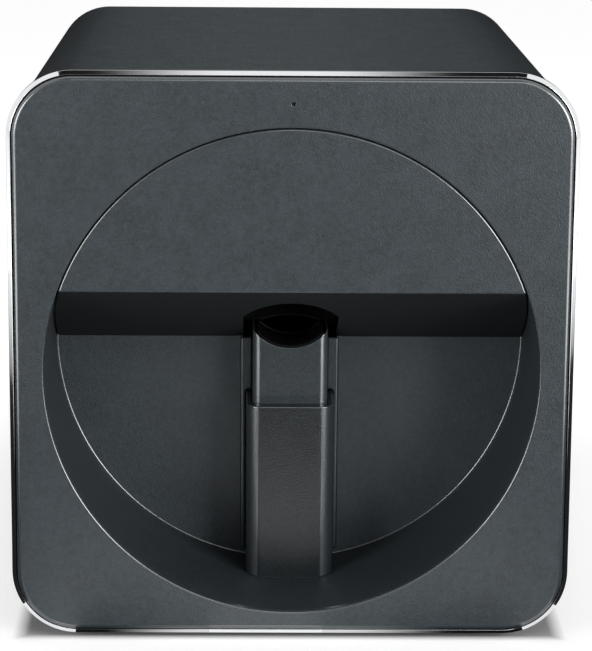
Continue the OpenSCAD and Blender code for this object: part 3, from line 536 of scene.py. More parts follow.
def scatter_recipe():
    """Puts one shape at each incoming point, turned one way."""
    recipe = Recipe("Shape at points", [("Shape", "Object", None), ("Turn", "Vector", None)])
    shape = recipe.node("GeometryNodeObjectInfo", {"Object": recipe.given("Shape")})
    placed = recipe.node("GeometryNodeInstanceOnPoints", {
        "Points": recipe.given("Geometry"), "Instance": shape.outputs["Geometry"],
        "Rotation": recipe.given("Turn")})
    return recipe.end(placed.outputs[0])


def along_path_recipe():
    """Spaces one shape evenly along the incoming line, turned to follow it."""
    recipe = Recipe("Shape along a path", [("Shape", "Object", None), ("Spacing", "Float", 0.0025)])
    curve = recipe.node("GeometryNodeMeshToCurve", {"Mesh": recipe.given("Geometry")})
    spaced = recipe.node("GeometryNodeCurveToPoints", {"Curve": curve.outputs[0],
                                                       "Length": recipe.given("Spacing")}, mode="LENGTH")
    turn = recipe.node("FunctionNodeAlignRotationToVector", {"Vector": spaced.outputs["Tangent"]},
                       axis="X", pivot_axis="Y")
    shape = recipe.node("GeometryNodeObjectInfo", {"Object": recipe.given("Shape")})
    placed = recipe.node("GeometryNodeInstanceOnPoints", {
        "Points": spaced.outputs["Points"], "Instance": shape.outputs["Geometry"],
        "Rotation": turn.outputs[0]})
    return recipe.end(placed.outputs[0])


def coil_recipe():
    """Winds a round wire into a helix along Z."""
    recipe = Recipe("Coil", [
        ("Turns", "Float", 9.0), ("Radius", "Float", 0.0054), ("Length", "Float", 0.026),
        ("Wire Radius", "Float", 0.0005), ("Steps per Turn", "Int", 28), ("Wire Sides", "Int", 10)])
    spiral = recipe.node("GeometryNodeCurveSpiral", {
        "Resolution": recipe.given("Steps per Turn"), "Rotations": recipe.given("Turns"),
        "Start Radius": recipe.given("Radius"), "End Radius": recipe.given("Radius"),
        "Height": recipe.given("Length")})
    wire = recipe.node("GeometryNodeCurvePrimitiveCircle", {
        "Resolution": recipe.given("Wire Sides"), "Radius": recipe.given("Wire Radius")})
    swept = recipe.node("GeometryNodeCurveToMesh", {
        "Curve": spiral.outputs[0], "Profile Curve": wire.outputs[0], "Fill Caps": True})
    return recipe.end(swept.outputs[0])


def scattered(name, shape, places, finish, turn=(0, 0, 0)):
    """One mesh of a shape repeated at points; the shape itself goes."""
    piece = scatter_recipe().run(name, polyline(name, places), Shape=shape, Turn=turn,
                                 Material=FINISH[finish])
    bpy.data.objects.remove(shape)
    return piece


def coil(name, turns, radius, long, wire, steps, sides, finish):
    """Helix along Z from the origin."""
    return coil_recipe().run(name, polyline(name, [(0, 0, 0)]), Turns=turns, Radius=radius, Length=long,
                             Wire_Radius=wire, Steps_per_Turn=steps, Wire_Sides=sides,
                             Material=FINISH[finish])


# Materials -----------------------------------------------------------------------------------------

GROUPS = {}
FINISH = {}
SLOT_FINISH = {
    "case_plastic": "casing", "trim_chrome": "chrome", "inner_plastic": "inner", "lining": "lining",
    "rubber": "rubber", "steel": "steel", "rod_steel": "rod", "frame_metal": "frames",
    "motor_metal": "motor", "brass": "brass", "belt": "belt", "cartridge": "cartridge",
    "board_green": "board_green", "board_white": "board_white", "lens_glass": "lens",
    "light_pipe": "pipe",
}


class Shader:
    """A material's nodes, placed right to left."""

    def __init__(self, name, viewport):
        self.material = bpy.data.materials.new(name)
        self.material.use_nodes = True
        self.material.diffuse_color = (*viewport, 1.0)
        self.tree = self.material.node_tree
        self.bsdf = self.tree.nodes["Principled BSDF"]
        self.column = -300
        self.coords = self.node("ShaderNodeTexCoord").outputs["Object"]

    def node(self, kind, **values):
        new = self.tree.nodes.new(kind)
        new.location = (self.column, -200)
        self.column -= 180
        for key, value in values.items():
            setattr(new, key, value)
        return new

    def group(self, name, **inputs):
        new = self.node("ShaderNodeGroup", node_tree=GROUPS[name])
        self.tree.links.new(self.coords, new.inputs["Coordinates"])
        for key, value in inputs.items():
            new.inputs[key.replace("_", " ")].default_value = value
        return new

    def link(self, output, name):
        self.tree.links.new(output, self.bsdf.inputs[name])

    def set(self, **values):
        for key, value in values.items():
            self.bsdf.inputs[key.replace("_", " ")].default_value = value

    def bump(self, height, distance):
        new = self.node("ShaderNodeBump")
        new.inputs["Strength"].default_value = 1.0
        new.inputs["Distance"].default_value = distance
        self.tree.links.new(height, new.inputs["Height"])
        self.link(new.outputs["Normal"], "Normal")


def group_tree(name, inputs, outputs):
    """Shader node group with named sockets; Coordinates is always the first."""
    tree = bpy.data.node_groups.new(name, "ShaderNodeTree")
    tree.interface.new_socket("Coordinates", in_out="INPUT", socket_type="NodeSocketVector")
    for socket, kind, value in inputs:
        entry = tree.interface.new_socket(socket, in_out="INPUT", socket_type="NodeSocket" + kind)
        entry.default_value = value
    for socket, kind in outputs:
        tree.interface.new_socket(socket, in_out="OUTPUT", socket_type="NodeSocket" + kind)
    source, sink = tree.nodes.new("NodeGroupInput"), tree.nodes.new("NodeGroupOutput")
    source.location, sink.location = (-900, 0), (500, 0)
    return tree, source, sink


def noise(tree, vector, scale, detail, rough):
    new = tree.nodes.new("ShaderNodeTexNoise")
    for name, value in (("Scale", scale), ("Detail", detail), ("Roughness", rough)):
        new.inputs[name].default_value = value
    tree.links.new(vector, new.inputs["Vector"])
    return new


def math_node(tree, operation, a, b=None, clamp=False):
    new = tree.nodes.new("ShaderNodeMath")
    new.operation = operation
    new.use_clamp = clamp
    for socket, value in zip(new.inputs, (a, b)):
        if isinstance(value, (int, float)):
            socket.default_value = value
        elif value is not None:
            tree.links.new(value, socket)
    return new.outputs[0]


def dimmed(tree, colour, share):
    """A colour times a share."""
    new = tree.nodes.new("ShaderNodeVectorMath")
    new.operation = "SCALE"
    tree.links.new(colour, new.inputs[0])
    tree.links.new(share, new.inputs["Scale"])
    return new.outputs[0]


def split_object(tree, coords=None):
    """X, Y and Z of the Object coordinates, or of the coordinates given."""
    new = tree.nodes.new("ShaderNodeSeparateXYZ")
    tree.links.new(coords or tree.nodes.new("ShaderNodeTexCoord").outputs["Object"], new.inputs[0])
    return new.outputs


def ramp(tree, value, **ends):
    """Map Range of a value; its ends are given by name."""
    new = tree.nodes.new("ShaderNodeMapRange")
    tree.links.new(value, new.inputs["Value"])
    for key, end in ends.items():
        socket = new.inputs[key.replace("_", " ")]
        if isinstance(end, bpy.types.NodeSocket):
            tree.links.new(end, socket)
        else:
            socket.default_value = end
    return new


def moulded_grain():
    """Fine spark-eroded texture of moulded plastic, with faint flow clouds in tone and gloss."""
    tree, source, sink = group_tree(
        "Moulded grain",
        [("Grain Size", "Float", 0.00035), ("Tone", "Color", (0.05, 0.05, 0.05, 1)),
         ("Tone Spread", "Float", 0.08), ("Roughness", "Float", 0.42), ("Roughness Spread", "Float", 0.06)],
        [("Colour", "Color"), ("Roughness", "Float"), ("Height", "Float")])
    coords = source.outputs["Coordinates"]
    scale = math_node(tree, "DIVIDE", 1.0, source.outputs["Grain Size"])
    fine = noise(tree, coords, 1.0, 2.0, 0.6)
    cells = tree.nodes.new("ShaderNodeTexVoronoi")
    cells.feature = "SMOOTH_F1"
    tree.links.new(coords, cells.inputs["Vector"])
    for texture in (fine, cells):
        tree.links.new(scale, texture.inputs["Scale"])
    height = math_node(tree, "ADD", fine.outputs["Fac"], math_node(
        tree, "MULTIPLY", cells.outputs["Distance"], 0.7))
    swing = 0.0
    clouds, mottle = noise(tree, coords, 90.0, 3.0, 0.55), noise(tree, coords, 520.0, 2.0, 0.6)
    for layer, weight in ((clouds, 0.5), (mottle, 0.9), (fine, 1.1)):
        centred = math_node(tree, "SUBTRACT", layer.outputs["Fac"], 0.5)
        swing = math_node(tree, "ADD", swing, math_node(tree, "MULTIPLY", centred, weight))
    gain = math_node(tree, "ADD", 1.0, math_node(tree, "MULTIPLY", swing, source.outputs["Tone Spread"]))
    rough = math_node(tree, "ADD", source.outputs["Roughness"], math_node(
        tree, "MULTIPLY", swing, source.outputs["Roughness Spread"]), clamp=True)
    tree.links.new(dimmed(tree, source.outputs["Tone"], gain), sink.inputs["Colour"])
    tree.links.new(rough, sink.inputs["Roughness"])
    tree.links.new(height, sink.inputs["Height"])
    return tree


def handling_marks():
    """Mask of fine dust and rubbing, strongest in broad patches."""
    tree, source, sink = group_tree(
        "Handling marks", [("Amount", "Float", 0.2), ("Patch Size", "Float", 0.03)], [("Mask", "Float")])
    coords = source.outputs["Coordinates"]
    patch = noise(tree, coords, 1.0, 4.0, 0.6)
    tree.links.new(math_node(tree, "DIVIDE", 1.0, source.outputs["Patch Size"]), patch.inputs["Scale"])
    dust = noise(tree, coords, 2600.0, 1.0, 0.4)
    patchy, specks = [
        math_node(tree, "MULTIPLY", math_node(tree, "SUBTRACT", texture.outputs["Fac"], floor), gain,
                  clamp=True)
        for texture, floor, gain in ((patch, 0.45, 4.0), (dust, 0.6, 6.0))]
    mask = math_node(tree, "MULTIPLY", math_node(tree, "ADD", math_node(tree, "MULTIPLY", patchy, 0.35),
                                                 specks), source.outputs["Amount"], clamp=True)
    tree.links.new(mask, sink.inputs["Mask"])
    return tree


def brushed_lines():
    """Drawn or turned lines along one direction of the coordinates."""
    tree, source, sink = group_tree(
        "Brushed lines", [("Stretch", "Vector", (40.0, 40.0, 4000.0)), ("Roughness", "Float", 0.3),
                          ("Spread", "Float", 0.15)], [("Roughness", "Float"), ("Height", "Float")])
    product = tree.nodes.new("ShaderNodeVectorMath")
    product.operation = "MULTIPLY"
    tree.links.new(source.outputs["Coordinates"], product.inputs[0])
    tree.links.new(source.outputs["Stretch"], product.inputs[1])
    lines = noise(tree, product.outputs[0], 1.0, 2.0, 0.55)
    swing = math_node(tree, "MULTIPLY", math_node(tree, "SUBTRACT", lines.outputs["Fac"], 0.5),
                      source.outputs["Spread"])
    tree.links.new(math_node(tree, "ADD", source.outputs["Roughness"], swing, clamp=True),
                   sink.inputs["Roughness"])
    tree.links.new(lines.outputs["Fac"], sink.inputs["Height"])
    return tree


def corner_fade():
    """Painted shade: deepens a tone towards the object's left and right sides, where the cover's round
    corners turn away from the light.
    """
    tree, source, sink = group_tree(
        "Corner fade", [("Tone", "Color", (0.05, 0.05, 0.05, 1)), ("Start", "Float", 0.07),
                        ("End", "Float", 0.1), ("Least", "Float", 0.5)], [("Colour", "Color")])
    across = math_node(tree, "ABSOLUTE", split_object(tree, source.outputs["Coordinates"])["X"])
    share = ramp(tree, across, From_Min=source.outputs["Start"], From_Max=source.outputs["End"],
                 To_Min=1.0, To_Max=source.outputs["Least"])
    tree.links.new(dimmed(tree, source.outputs["Tone"], share.outputs["Result"]), sink.inputs["Colour"])
    return tree


def moulded(name, colour, roughness, grain=0.55, depth=0.1, specular=0.5, spread=0.9, marks=0.0, fade=None):
    """Moulded plastic; grain and depth in millimetres, marks where it is handled, painted shade at its
    sides.
    """
    shader = Shader(name, colour)
    grained = shader.group("grain", Grain_Size=grain * MM, Tone=(*colour, 1.0), Tone_Spread=spread,
                           Roughness=roughness, Roughness_Spread=0.06)
    tone = grained.outputs["Colour"]
    if fade:
        faded = shader.group("fade", Start=fade[0] * MM, End=fade[1] * MM, Least=fade[2])
        shader.tree.links.new(tone, faded.inputs["Tone"])
        tone = faded.outputs["Colour"]
    shader.link(tone, "Base Color")
    gloss = grained.outputs["Roughness"]
    if marks:
        rubbed = shader.group("marks", Amount=marks)
        gloss = math_node(shader.tree, "ADD", gloss, rubbed.outputs["Mask"], clamp=True)
    shader.link(gloss, "Roughness")
    shader.bump(grained.outputs["Height"], depth * MM)
    shader.set(Specular_IOR_Level=specular)
    return shader.material


def metal(name, colour, roughness, stretch, spread=0.15, depth=0.002):
    """Drawn, turned or plated metal."""
    shader = Shader(name, colour)
    lines = shader.group("brushed", Stretch=stretch, Roughness=roughness, Spread=spread)
    shader.set(Base_Color=(*colour, 1.0), Metallic=1.0)
    shader.link(lines.outputs["Roughness"], "Roughness")
    shader.bump(lines.outputs["Height"], depth * MM)
    return shader.material


def glassy(name, viewport, colour, **values):
    """Dark clear plastic or glass, seen as a glossy surface."""
    shader = Shader(name, viewport)
    shader.set(Base_Color=(*colour, 1.0), **values)
    return shader.material


def make_finishes(finishes):
    """Fills FINISH with every material, by its key."""
    GROUPS.update(grain=moulded_grain(), marks=handling_marks(), fade=corner_fade(),
                  brushed=brushed_lines())
    rough = finishes.roughness

    def casing(share):
        return tuple(c * share for c in finishes.casing)

    for key, name, colour, roughness, settings in (
            ("casing", "Casing plastic", casing(1), rough, {}),
            # Painted highlight: rounded edges take a lighter, glossier copy of the casing plastic
            ("edge", "Burnished edge", casing(1.15), finishes.edge_roughness,
             dict(depth=0.01, specular=1.35, spread=0.12)),
            # Painted shade: darkened copies of the casing plastic for the finger column's fronts deep in
            # the recess; satin also serves small fittings
            ("satin", "Satin plastic", casing(0.33), 0.3, {}),
            ("rest", "Finger rest plastic", casing(0.8), 0.33, {}),
            # Painted highlights: lighter, glossier copies of the casing plastic for the finger column's
            # round corners
            ("painted_sheen", "Polished corner", casing(0.8), 0.3, dict(depth=0.05, specular=1.35, spread=0.3)),
            ("painted_glint", "Worn corner", casing(1.3), 0.3, dict(depth=0.03, specular=1.8, spread=0.3)),
            # The cover's tone deepens at its round side corners: painted shade
            ("cover", "Cover plastic", casing(1), rough,
             dict(grain=0.7, depth=0.16, spread=1.8, fade=(68, 97, 0.15))),
            # Painted light: the casing plastic lightened for the recess's back plate and the frame beside
            # the column
            ("plate", "Back plate plastic", casing(1.25), rough, {}),
            # Painted shade: the casing plastic darkened for the hood's ceiling, which faces down away from
            # the light
            ("ceiling", "Hood lining plastic", casing(0.40), 0.6, dict(specular=0.25)),
            # Painted shade: the casing plastic darkened for the recess's walls
            ("shaded_wall", "Dull casing plastic", casing(0.72), 0.55, dict(specular=0.3)),
            ("black", "Matt black plastic", (0.0025, 0.0025, 0.0027), 0.8, dict(grain=0.4, specular=0.1)),
            ("inner", "Inner plastic", finishes.inner, 0.5, dict(grain=0.5, specular=0.35, marks=0.5)),
            ("lining", "Groove lining", finishes.lining, 0.75, dict(grain=0.3, specular=0.06)),
            ("rubber", "Rubber", finishes.rubber, 0.75, dict(grain=0.6, depth=0.05, specular=0.3)),
            ("frames", "Coated steel", finishes.frame_steel, 0.42,
             dict(grain=0.8, depth=0.03, spread=0.3, marks=0.5)),
            ("belt", "Belt rubber", (0.010, 0.010, 0.011), 0.7, dict(grain=0.3, specular=0.3)),
            ("cartridge", "Cartridge plastic", (0.008, 0.008, 0.009), 0.28,
             dict(grain=0.6, depth=0.01, spread=0.3, marks=0.6)),
            ("chip", "Chip resin", (0.006, 0.006, 0.0065), 0.45, dict(grain=0.3, spread=0.2)),
            ("socket", "Socket nylon", (0.46, 0.43, 0.36), 0.5, dict(spread=0.1)),
            ("diode", "Light diode", (0.72, 0.58, 0.18), 0.25, dict(spread=0.1)),
            ("board_green", "Green solder mask", finishes.board, 0.3,
             dict(grain=1.2, depth=0.01, spread=0.2)),
            ("board_white", "White solder mask", (0.62, 0.62, 0.60), 0.4, dict(grain=1.2, depth=0.01))):
        FINISH[key] = moulded(name, tuple(colour), roughness, **settings)
    for key, name, colour, roughness, stretch, settings in (
            ("chrome", "Trim chrome", finishes.chrome, 0.055, (60.0, 60.0, 60.0),
             dict(spread=0.03, depth=0.0)),
            ("steel", "Screw steel", finishes.steel, 0.3, (900.0, 900.0, 900.0), {}),
            ("rod", "Ground rod steel", finishes.steel, 0.16, (2500.0, 40.0, 2500.0), dict(spread=0.1)),
            ("motor", "Motor can", (0.42, 0.43, 0.44), 0.34, (300.0, 4000.0, 300.0), {}),
            ("brass", "Sintered bronze", finishes.brass, 0.42, (700.0, 700.0, 700.0), {})):
        FINISH[key] = metal(name, tuple(colour), roughness, stretch, **settings)
    FINISH["lens"] = glassy("Lens glass", (0.02, 0.03, 0.05), (0.01, 0.015, 0.03), Roughness=0.03,
                            Coat_Weight=1.0)
    FINISH["pipe"] = glassy("Light pipe", (0.01, 0.012, 0.014), (0.004, 0.005, 0.006), Roughness=0.12)


# Stage ---------------------------------------------------------------------------------------------

CAMERA_PLACE = (-0.0141, -1.0766, 0.3264)
CAMERA_LENS = 148.04
CAMERA_YAW, CAMERA_PITCH, CAMERA_ROLL = (math.radians(a) for a in (0.933, 12.222, 0.449))


def area_light(name, place, target, width, height, power, glossy=True):
    data = bpy.data.lights.new(name, "AREA")
    data.shape = "RECTANGLE"
    data.size, data.size_y, data.energy = width, height, power
    light = collect(bpy.data.objects.new(name, data))
    light.location = place
    light.rotation_euler = (Vector(target) - Vector(place)).to_track_quat("-Z", "Y").to_euler()
    light.visible_glossy = glossy
    light.visible_camera = False


def seen_colour(tree, colour, dim, strength):
    """Background for camera, glossy and transmission rays, and a dimmer tone for the rest."""
    path = tree.nodes.new("ShaderNodeLightPath")
    seen = math_node(tree, "MAXIMUM", math_node(
        tree, "MAXIMUM", path.outputs["Is Camera Ray"], path.outputs["Is Glossy Ray"]),
        path.outputs["Is Transmission Ray"])
    mix = tree.nodes.new("ShaderNodeMix")
    mix.data_type = "RGBA"
    tree.links.new(seen, mix.inputs["Factor"])
    mix.inputs["A"].default_value = (dim, dim, dim, 1.0)
    mix.inputs["B"].default_value = (*[c * strength for c in colour], 1.0)
    return seen, mix.outputs["Result"]


def sheet(name, material_name, corners, glow, rough=1.0):
    """Flat stage surface with a plain material of its own, which glows."""
    mesh = bpy.data.meshes.new(name)
    mesh.from_pydata(corners, [], [(0, 1, 2, 3)])
    material = bpy.data.materials.new(material_name)
    material.use_nodes = True
    tree = material.node_tree
    bsdf = tree.nodes["Principled BSDF"]
    bsdf.inputs["Base Color"].default_value = (0.005, 0.005, 0.005, 1)
    bsdf.inputs["Roughness"].default_value = rough
    bsdf.inputs["Specular IOR Level"].default_value = 0.0
    bsdf.inputs["Emission Color"].default_value = (*glow, 1.0)
    mesh.materials.append(material)
    return collect(bpy.data.objects.new(name, mesh)), tree, bsdf


def card(name, corners, near=0.012, far=0.012, start=0.0, end=1.0, power=1.0):
    """Studio card that only reflections see; its tone runs from near to far along |X|."""
    obj, tree, bsdf = sheet(name, name, corners, (1.0, 1.0, 1.0))
    change = ramp(tree, math_node(tree, "ABSOLUTE", split_object(tree)["X"]), From_Min=start, From_Max=end)
    change.interpolation_type = "SMOOTHSTEP"
    share = math_node(tree, "POWER", change.outputs["Result"], power)
    tone = math_node(tree, "ADD", math_node(tree, "MULTIPLY", share, far - near), near)
    tree.links.new(tone, bsdf.inputs["Emission Strength"])
    for kind in ("camera", "diffuse", "shadow", "transmission"):
        setattr(obj, "visible_" + kind, False)


def flat(x0, x1, y0, y1, z=0.001):
    return [(x0, y0, z), (x1, y0, z), (x1, y1, z), (x0, y1, z)]


def wall(x0, x1, y, z0, z1):
    return [(x0, y, z0), (x1, y, z0), (x1, y, z1), (x0, y, z1)]


class NAILPRINTER_OT_stage(Operator):
    """Makes the camera, the pale floor, the surroundings, the lights and the cards"""
    bl_idname = "nailprinter.stage"
    bl_label = "Stage"

    def camera(self, scene):
        data = bpy.data.cameras.new("Camera")
        data.sensor_width = 36.0
        data.lens = CAMERA_LENS
        data.clip_end = 20.0
        camera = collect(bpy.data.objects.new("Camera", data))
        camera.matrix_world = (Matrix.Translation(CAMERA_PLACE) @ Matrix.Rotation(-CAMERA_YAW, 4, "Z")
                               @ Matrix.Rotation(QUARTER_TURN - CAMERA_PITCH, 4, "X")
                               @ Matrix.Rotation(CAMERA_ROLL, 4, "Z"))
        scene.camera = camera
        scene.view_settings.view_transform = "Standard"

    def surroundings(self, scene, levels):
        scene.world = bpy.data.worlds.new("Surroundings")
        scene.world.use_nodes = True
        tree = scene.world.node_tree
        _, colour = seen_colour(tree, tuple(levels.backdrop), levels.fill, 1.0)
        tree.links.new(colour, tree.nodes["Background"].inputs["Color"])

    def floor(self, levels):
        """The floor glows to a white in view; under and near the case its glow is taken away, a painted
        contact shadow on top of the lamps' own shadow.
        """
        obj, tree, bsdf = sheet("Floor", "Pale floor", flat(-12, 12, -12, 12, 0), levels.backdrop, 0.9)
        seen, colour = seen_colour(tree, tuple(levels.backdrop), levels.bounce, 0.5)
        tree.links.new(colour, bsdf.inputs["Base Color"])
        place = split_object(tree)
        beside = [math_node(tree, "SUBTRACT", math_node(tree, "ABSOLUTE", place[axis]), reach)
                  for axis, reach in (("X", TRIM_HI.x - 5 * MM), ("Y", -TRIM_HI.y + 3 * MM))]
        away = math_node(tree, "MAXIMUM", beside[0], beside[1])
        # The glow falls to nothing at the case's footprint and rises over 6 mm and over 0.25 m: painted
        # shadow
        near_shadow_ramp, wide = [ramp(tree, away, From_Max=reach, To_Max=rise).outputs["Result"]
                       for reach, rise in ((6 * MM, 0.62), (0.25, 0.30))]
        glow = math_node(tree, "MULTIPLY", seen, math_node(tree, "ADD", near_shadow_ramp, wide))
        tree.links.new(glow, bsdf.inputs["Emission Strength"])

    def execute(self, context):
        levels = context.scene.nailprinter_stage
        self.camera(context.scene)
        self.surroundings(context.scene, levels)
        self.floor(levels)
        front = (0.0, -0.13, 0.1)
        area_light("Right softbox", (0.85, -0.98, 0.36), front, 0.76, 0.60, levels.right)
        area_light("Left softbox", (-0.92, -0.90, 0.36), front, 0.62, 0.56, levels.left)
        area_light("Top light", (-0.05, 0.0, 1.3), (-0.02, -0.05, 0.2), 0.6, 0.4, levels.top, glossy=False)
        area_light("Front light", (0.33, -1.35, 1.12), front, 0.9, 0.6, levels.front)
        for side, word, power in ((-1, "Left", 1.65), (1, "Right", 2.15)):
            card(word + " front card", flat(side * 0.112, side * 0.80, -0.345, -0.22),
                 near=0.004, start=0.27, end=0.80, far=1.0, power=power)
            card(word + " softbox foot", flat(side * 0.13, side * 0.95, -0.95, -0.345),
                 near=0.1, start=0.20, end=0.42, far=5.0)
            card(word + " side card", flat(side * 0.112, side * 1.30, -0.22, 0.90))
            card(word + " overhead card", flat(side * 0.0, side * 0.34, -0.9, -0.2, 1.0),
                 near=1.0, start=0.03, end=0.125, far=0.008)
        for name, corners, tone in (("Table edge card", flat(-0.13, 0.13, -0.95, -0.25), 0.12),
                                    ("Apron card", flat(-0.09, 0.09, -0.235, -0.135), 2.2),
                                    ("Far floor card", flat(-2.2, 2.2, -2.4, -0.95), 0.25),
                                    ("Room card", wall(-2.2, 2.2, -2.4, 0.0, 2.4), 0.25)):
            card(name, corners, near=tone, far=tone)
        card("Back card", wall(-1.3, 1.3, 0.9, 0.0, 1.4), near=0.14, start=0.02, end=0.20, far=0.015)
        for name, x0, x1, start, end in (("Right toe card", 0.012, 0.088, 0.016, 0.062),
                                         ("Left toe card", -0.080, -0.030, 0.034, 0.070)):
            card(name, flat(x0, x1, -0.17, -0.12, 0.0012), near=0.8, start=start, end=end, far=0.004)
        return {"FINISHED"}


# Pieces --------------------------------------------------------------------------------------------

class NAILPRINTER_OT_solids(Operator):
    """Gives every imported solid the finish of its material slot"""
    bl_idname = "nailprinter.solids"
    bl_label = "Packed solids"

    def execute(self, context):
        make_finishes(context.scene.nailprinter_finishes)
        for name, obj in NODES.items():
            obj.data.materials.clear()
            obj.data.materials.append(FINISH[SLOT_FINISH[NODE_SLOT[name]]])
        return {"FINISHED"}


class NAILPRINTER_OT_front_panel(Operator):
    """Makes the flat front panel with its rounded rim, round opening and indicator hole"""
    bl_idname = "nailprinter.front_panel"
    bl_label = "Front panel"

    def execute(self, context):
        sizes = context.scene.nailprinter_casing
        corner = sizes.corner_radius - sizes.trim_width
        front, back = PANEL_LO.y, PANEL_HI.y
        seat = TRIM_LO.y - 0.04 * MM
        middle, radius = sizes.opening_centre, sizes.opening_radius
        hole_radius, hole_round = 0.8 * MM, 0.15 * MM
        status_low, status_high = islands("status_lens")[0]
        hole_height = (status_low.z + status_high.z) / 2

        def outline(inset):
            return rounded_rectangle(PANEL_LO.x + inset, PANEL_LO.z + inset, PANEL_HI.x - inset,
                                     PANEL_HI.z - inset, corner - inset, 32)

        def bore(height, size, rounding, steps, fineness):
            rim = [(circle_loop(0, height, size + inward, fineness), front + deeper)
                   for inward, deeper in quarter(rounding, steps)]
            return rim + [(circle_loop(0, height, size, fineness), back)]

        rim = [(outline(inward - sizes.panel_lap), front + deeper)
               for inward, deeper in quarter(sizes.panel_round, 10)]
        rim += [(outline(-sizes.panel_lap), seat), (outline(0.0), seat), (outline(0.0), back)]
        panel = faced("front_panel_dressed", [rim, bore(middle, radius, sizes.opening_round, 6, 360),
                                              bore(hole_height, hole_radius, hole_round, 4, 40)])
        hood_low = math.asin((HOOD_EDGE - middle) / radius)

        def choose(place, normal):
            """The opening's edge below the hood takes the edge finish, a painted highlight; beside the disc
            it stays plain.
            """
            x, z = place.x, place.z - middle
            if abs(normal.y) > FLAT:
                return 0
            if abs(math.hypot(x, z) - radius) < sizes.opening_round * 1.02:
                return 1 if math.atan2(z, abs(x)) < hood_low else 0
            return 1

        finished(painted(panel, ("casing", "edge"), choose), node="front_panel")
        return {"FINISHED"}


class NAILPRINTER_OT_trim(Operator):
    """Sweeps the chrome trim and its dark seat round the front"""
    bl_idname = "nailprinter.trim"
    bl_label = "Trim"

    def execute(self, context):
        sizes = context.scene.nailprinter_casing
        recipe = outline_sweep_recipe()
        width, lip = sizes.trim_chamfer, TRIM_LO.y
        low = lip + 1.3 * MM
        rise = 1.3 * MM * width / (1.8 * MM)
        bright = softened([(0, low + 3 * MM), (0, low), (-width, low - rise), (-width, low + 1.5 * MM)],
                          [0, sizes.trim_round, 0.08 * MM, 0])
        seat = [(-width - 0.02 * MM, low + 3 * MM), (-width - 0.02 * MM, lip + 0.9 * MM),
                (-2.25 * MM, lip + 0.9 * MM), (-2.25 * MM, lip), (-2.9 * MM, lip),
                (-2.9 * MM, lip + 0.8 * MM), (-6.2 * MM, lip + 0.8 * MM), (-6.2 * MM, TRIM_HI.y),
                (-4.2 * MM, TRIM_HI.y), (-4.2 * MM, low + 3 * MM)]
        parts = []
        for name, section, finish in (("trim_bright", bright, "chrome"), ("trim_seat", seat, "black")):
            part = recipe.run(name, polyline(name, [(x, y, 0) for x, y in section], True),
                              Width=TRIM_HI.x - TRIM_LO.x, Height=TRIM_HI.z - TRIM_LO.z,
                              Corner_Radius=sizes.corner_radius, Corner_Steps=40,
                              Centre=(0.0, 0.0, (TRIM_LO.z + TRIM_HI.z) / 2), Material=FINISH[finish])
            parts.append(outward(part))
        finished(joined("trim_ring_dressed", *parts), node="trim_ring", sharp=28)
        return {"FINISHED"}


class NAILPRINTER_OT_recess(Operator):
    """Makes the round hand recess and the raised frame beside the finger column"""
    bl_idname = "nailprinter.recess"
    bl_label = "Hand recess"

    def execute(self, context):
        sizes = context.scene.nailprinter_casing
        centre, radius, depth = sizes.opening_centre, sizes.opening_radius, HOOD_HI.y
        well = rounded(solid_copy("hand_well"), 0.4 * MM, 2)
        # The back plate is painted lighter and the walls darker than the casing: painted light and shade
        painted(well, ("plate", "shaded_wall"), lambda place, normal:
                1 if abs(normal.y) < 0.5 and place.y < depth else 0)
        finished(well, node="hand_well")

        # A ring in the edge finish along the recess's inner corner: painted highlight
        fillet, overlap = sizes.inner_round, 0.05 * MM
        section = [(radius + overlap, depth + overlap), (radius + overlap, depth - fillet)]
        section += [(radius - inward, depth - out) for out, inward in quarter(fillet, 8)]
        section.append((radius - fillet, depth + overlap))
        ring = revolved("recess_fillet", section, (0, 0, centre), "Y", 180, HALF_TURN, HALF_TURN)
        finished(ring, "edge")

        slot, lower, upper = 18.3 * MM, 17.0 * MM, 14.55 * MM
        top, wide = HOOD_LO.z - 0.1 * MM, slot + 0.75 * MM
        step, foot = SLEEVE_HI.z + 0.5 * MM, WELL_LO.z + 7.0 * MM
        sides = []
        for side in (-1, 1):
            loop = [(side * x, z) for x, z in ((upper, step), (upper, top), (wide, top), (wide, foot),
                                               (lower, foot), (lower, step))]
            bar = rounded(extruded("slot_bar", [loop], depth - 1.3 * MM, depth - 0.02 * MM), 0.85 * MM, 5,
                          clamp=False)
            # The bars' outer edges take the sheen finish: painted highlight
            sides.append(painted(bar, ("plate", "painted_sheen"), lambda place, normal:
                                 1 if abs(normal.x) > 0.05 and abs(place.x) > slot else 0))
        finished(joined("slot_frame", *sides))
        return {"FINISHED"}


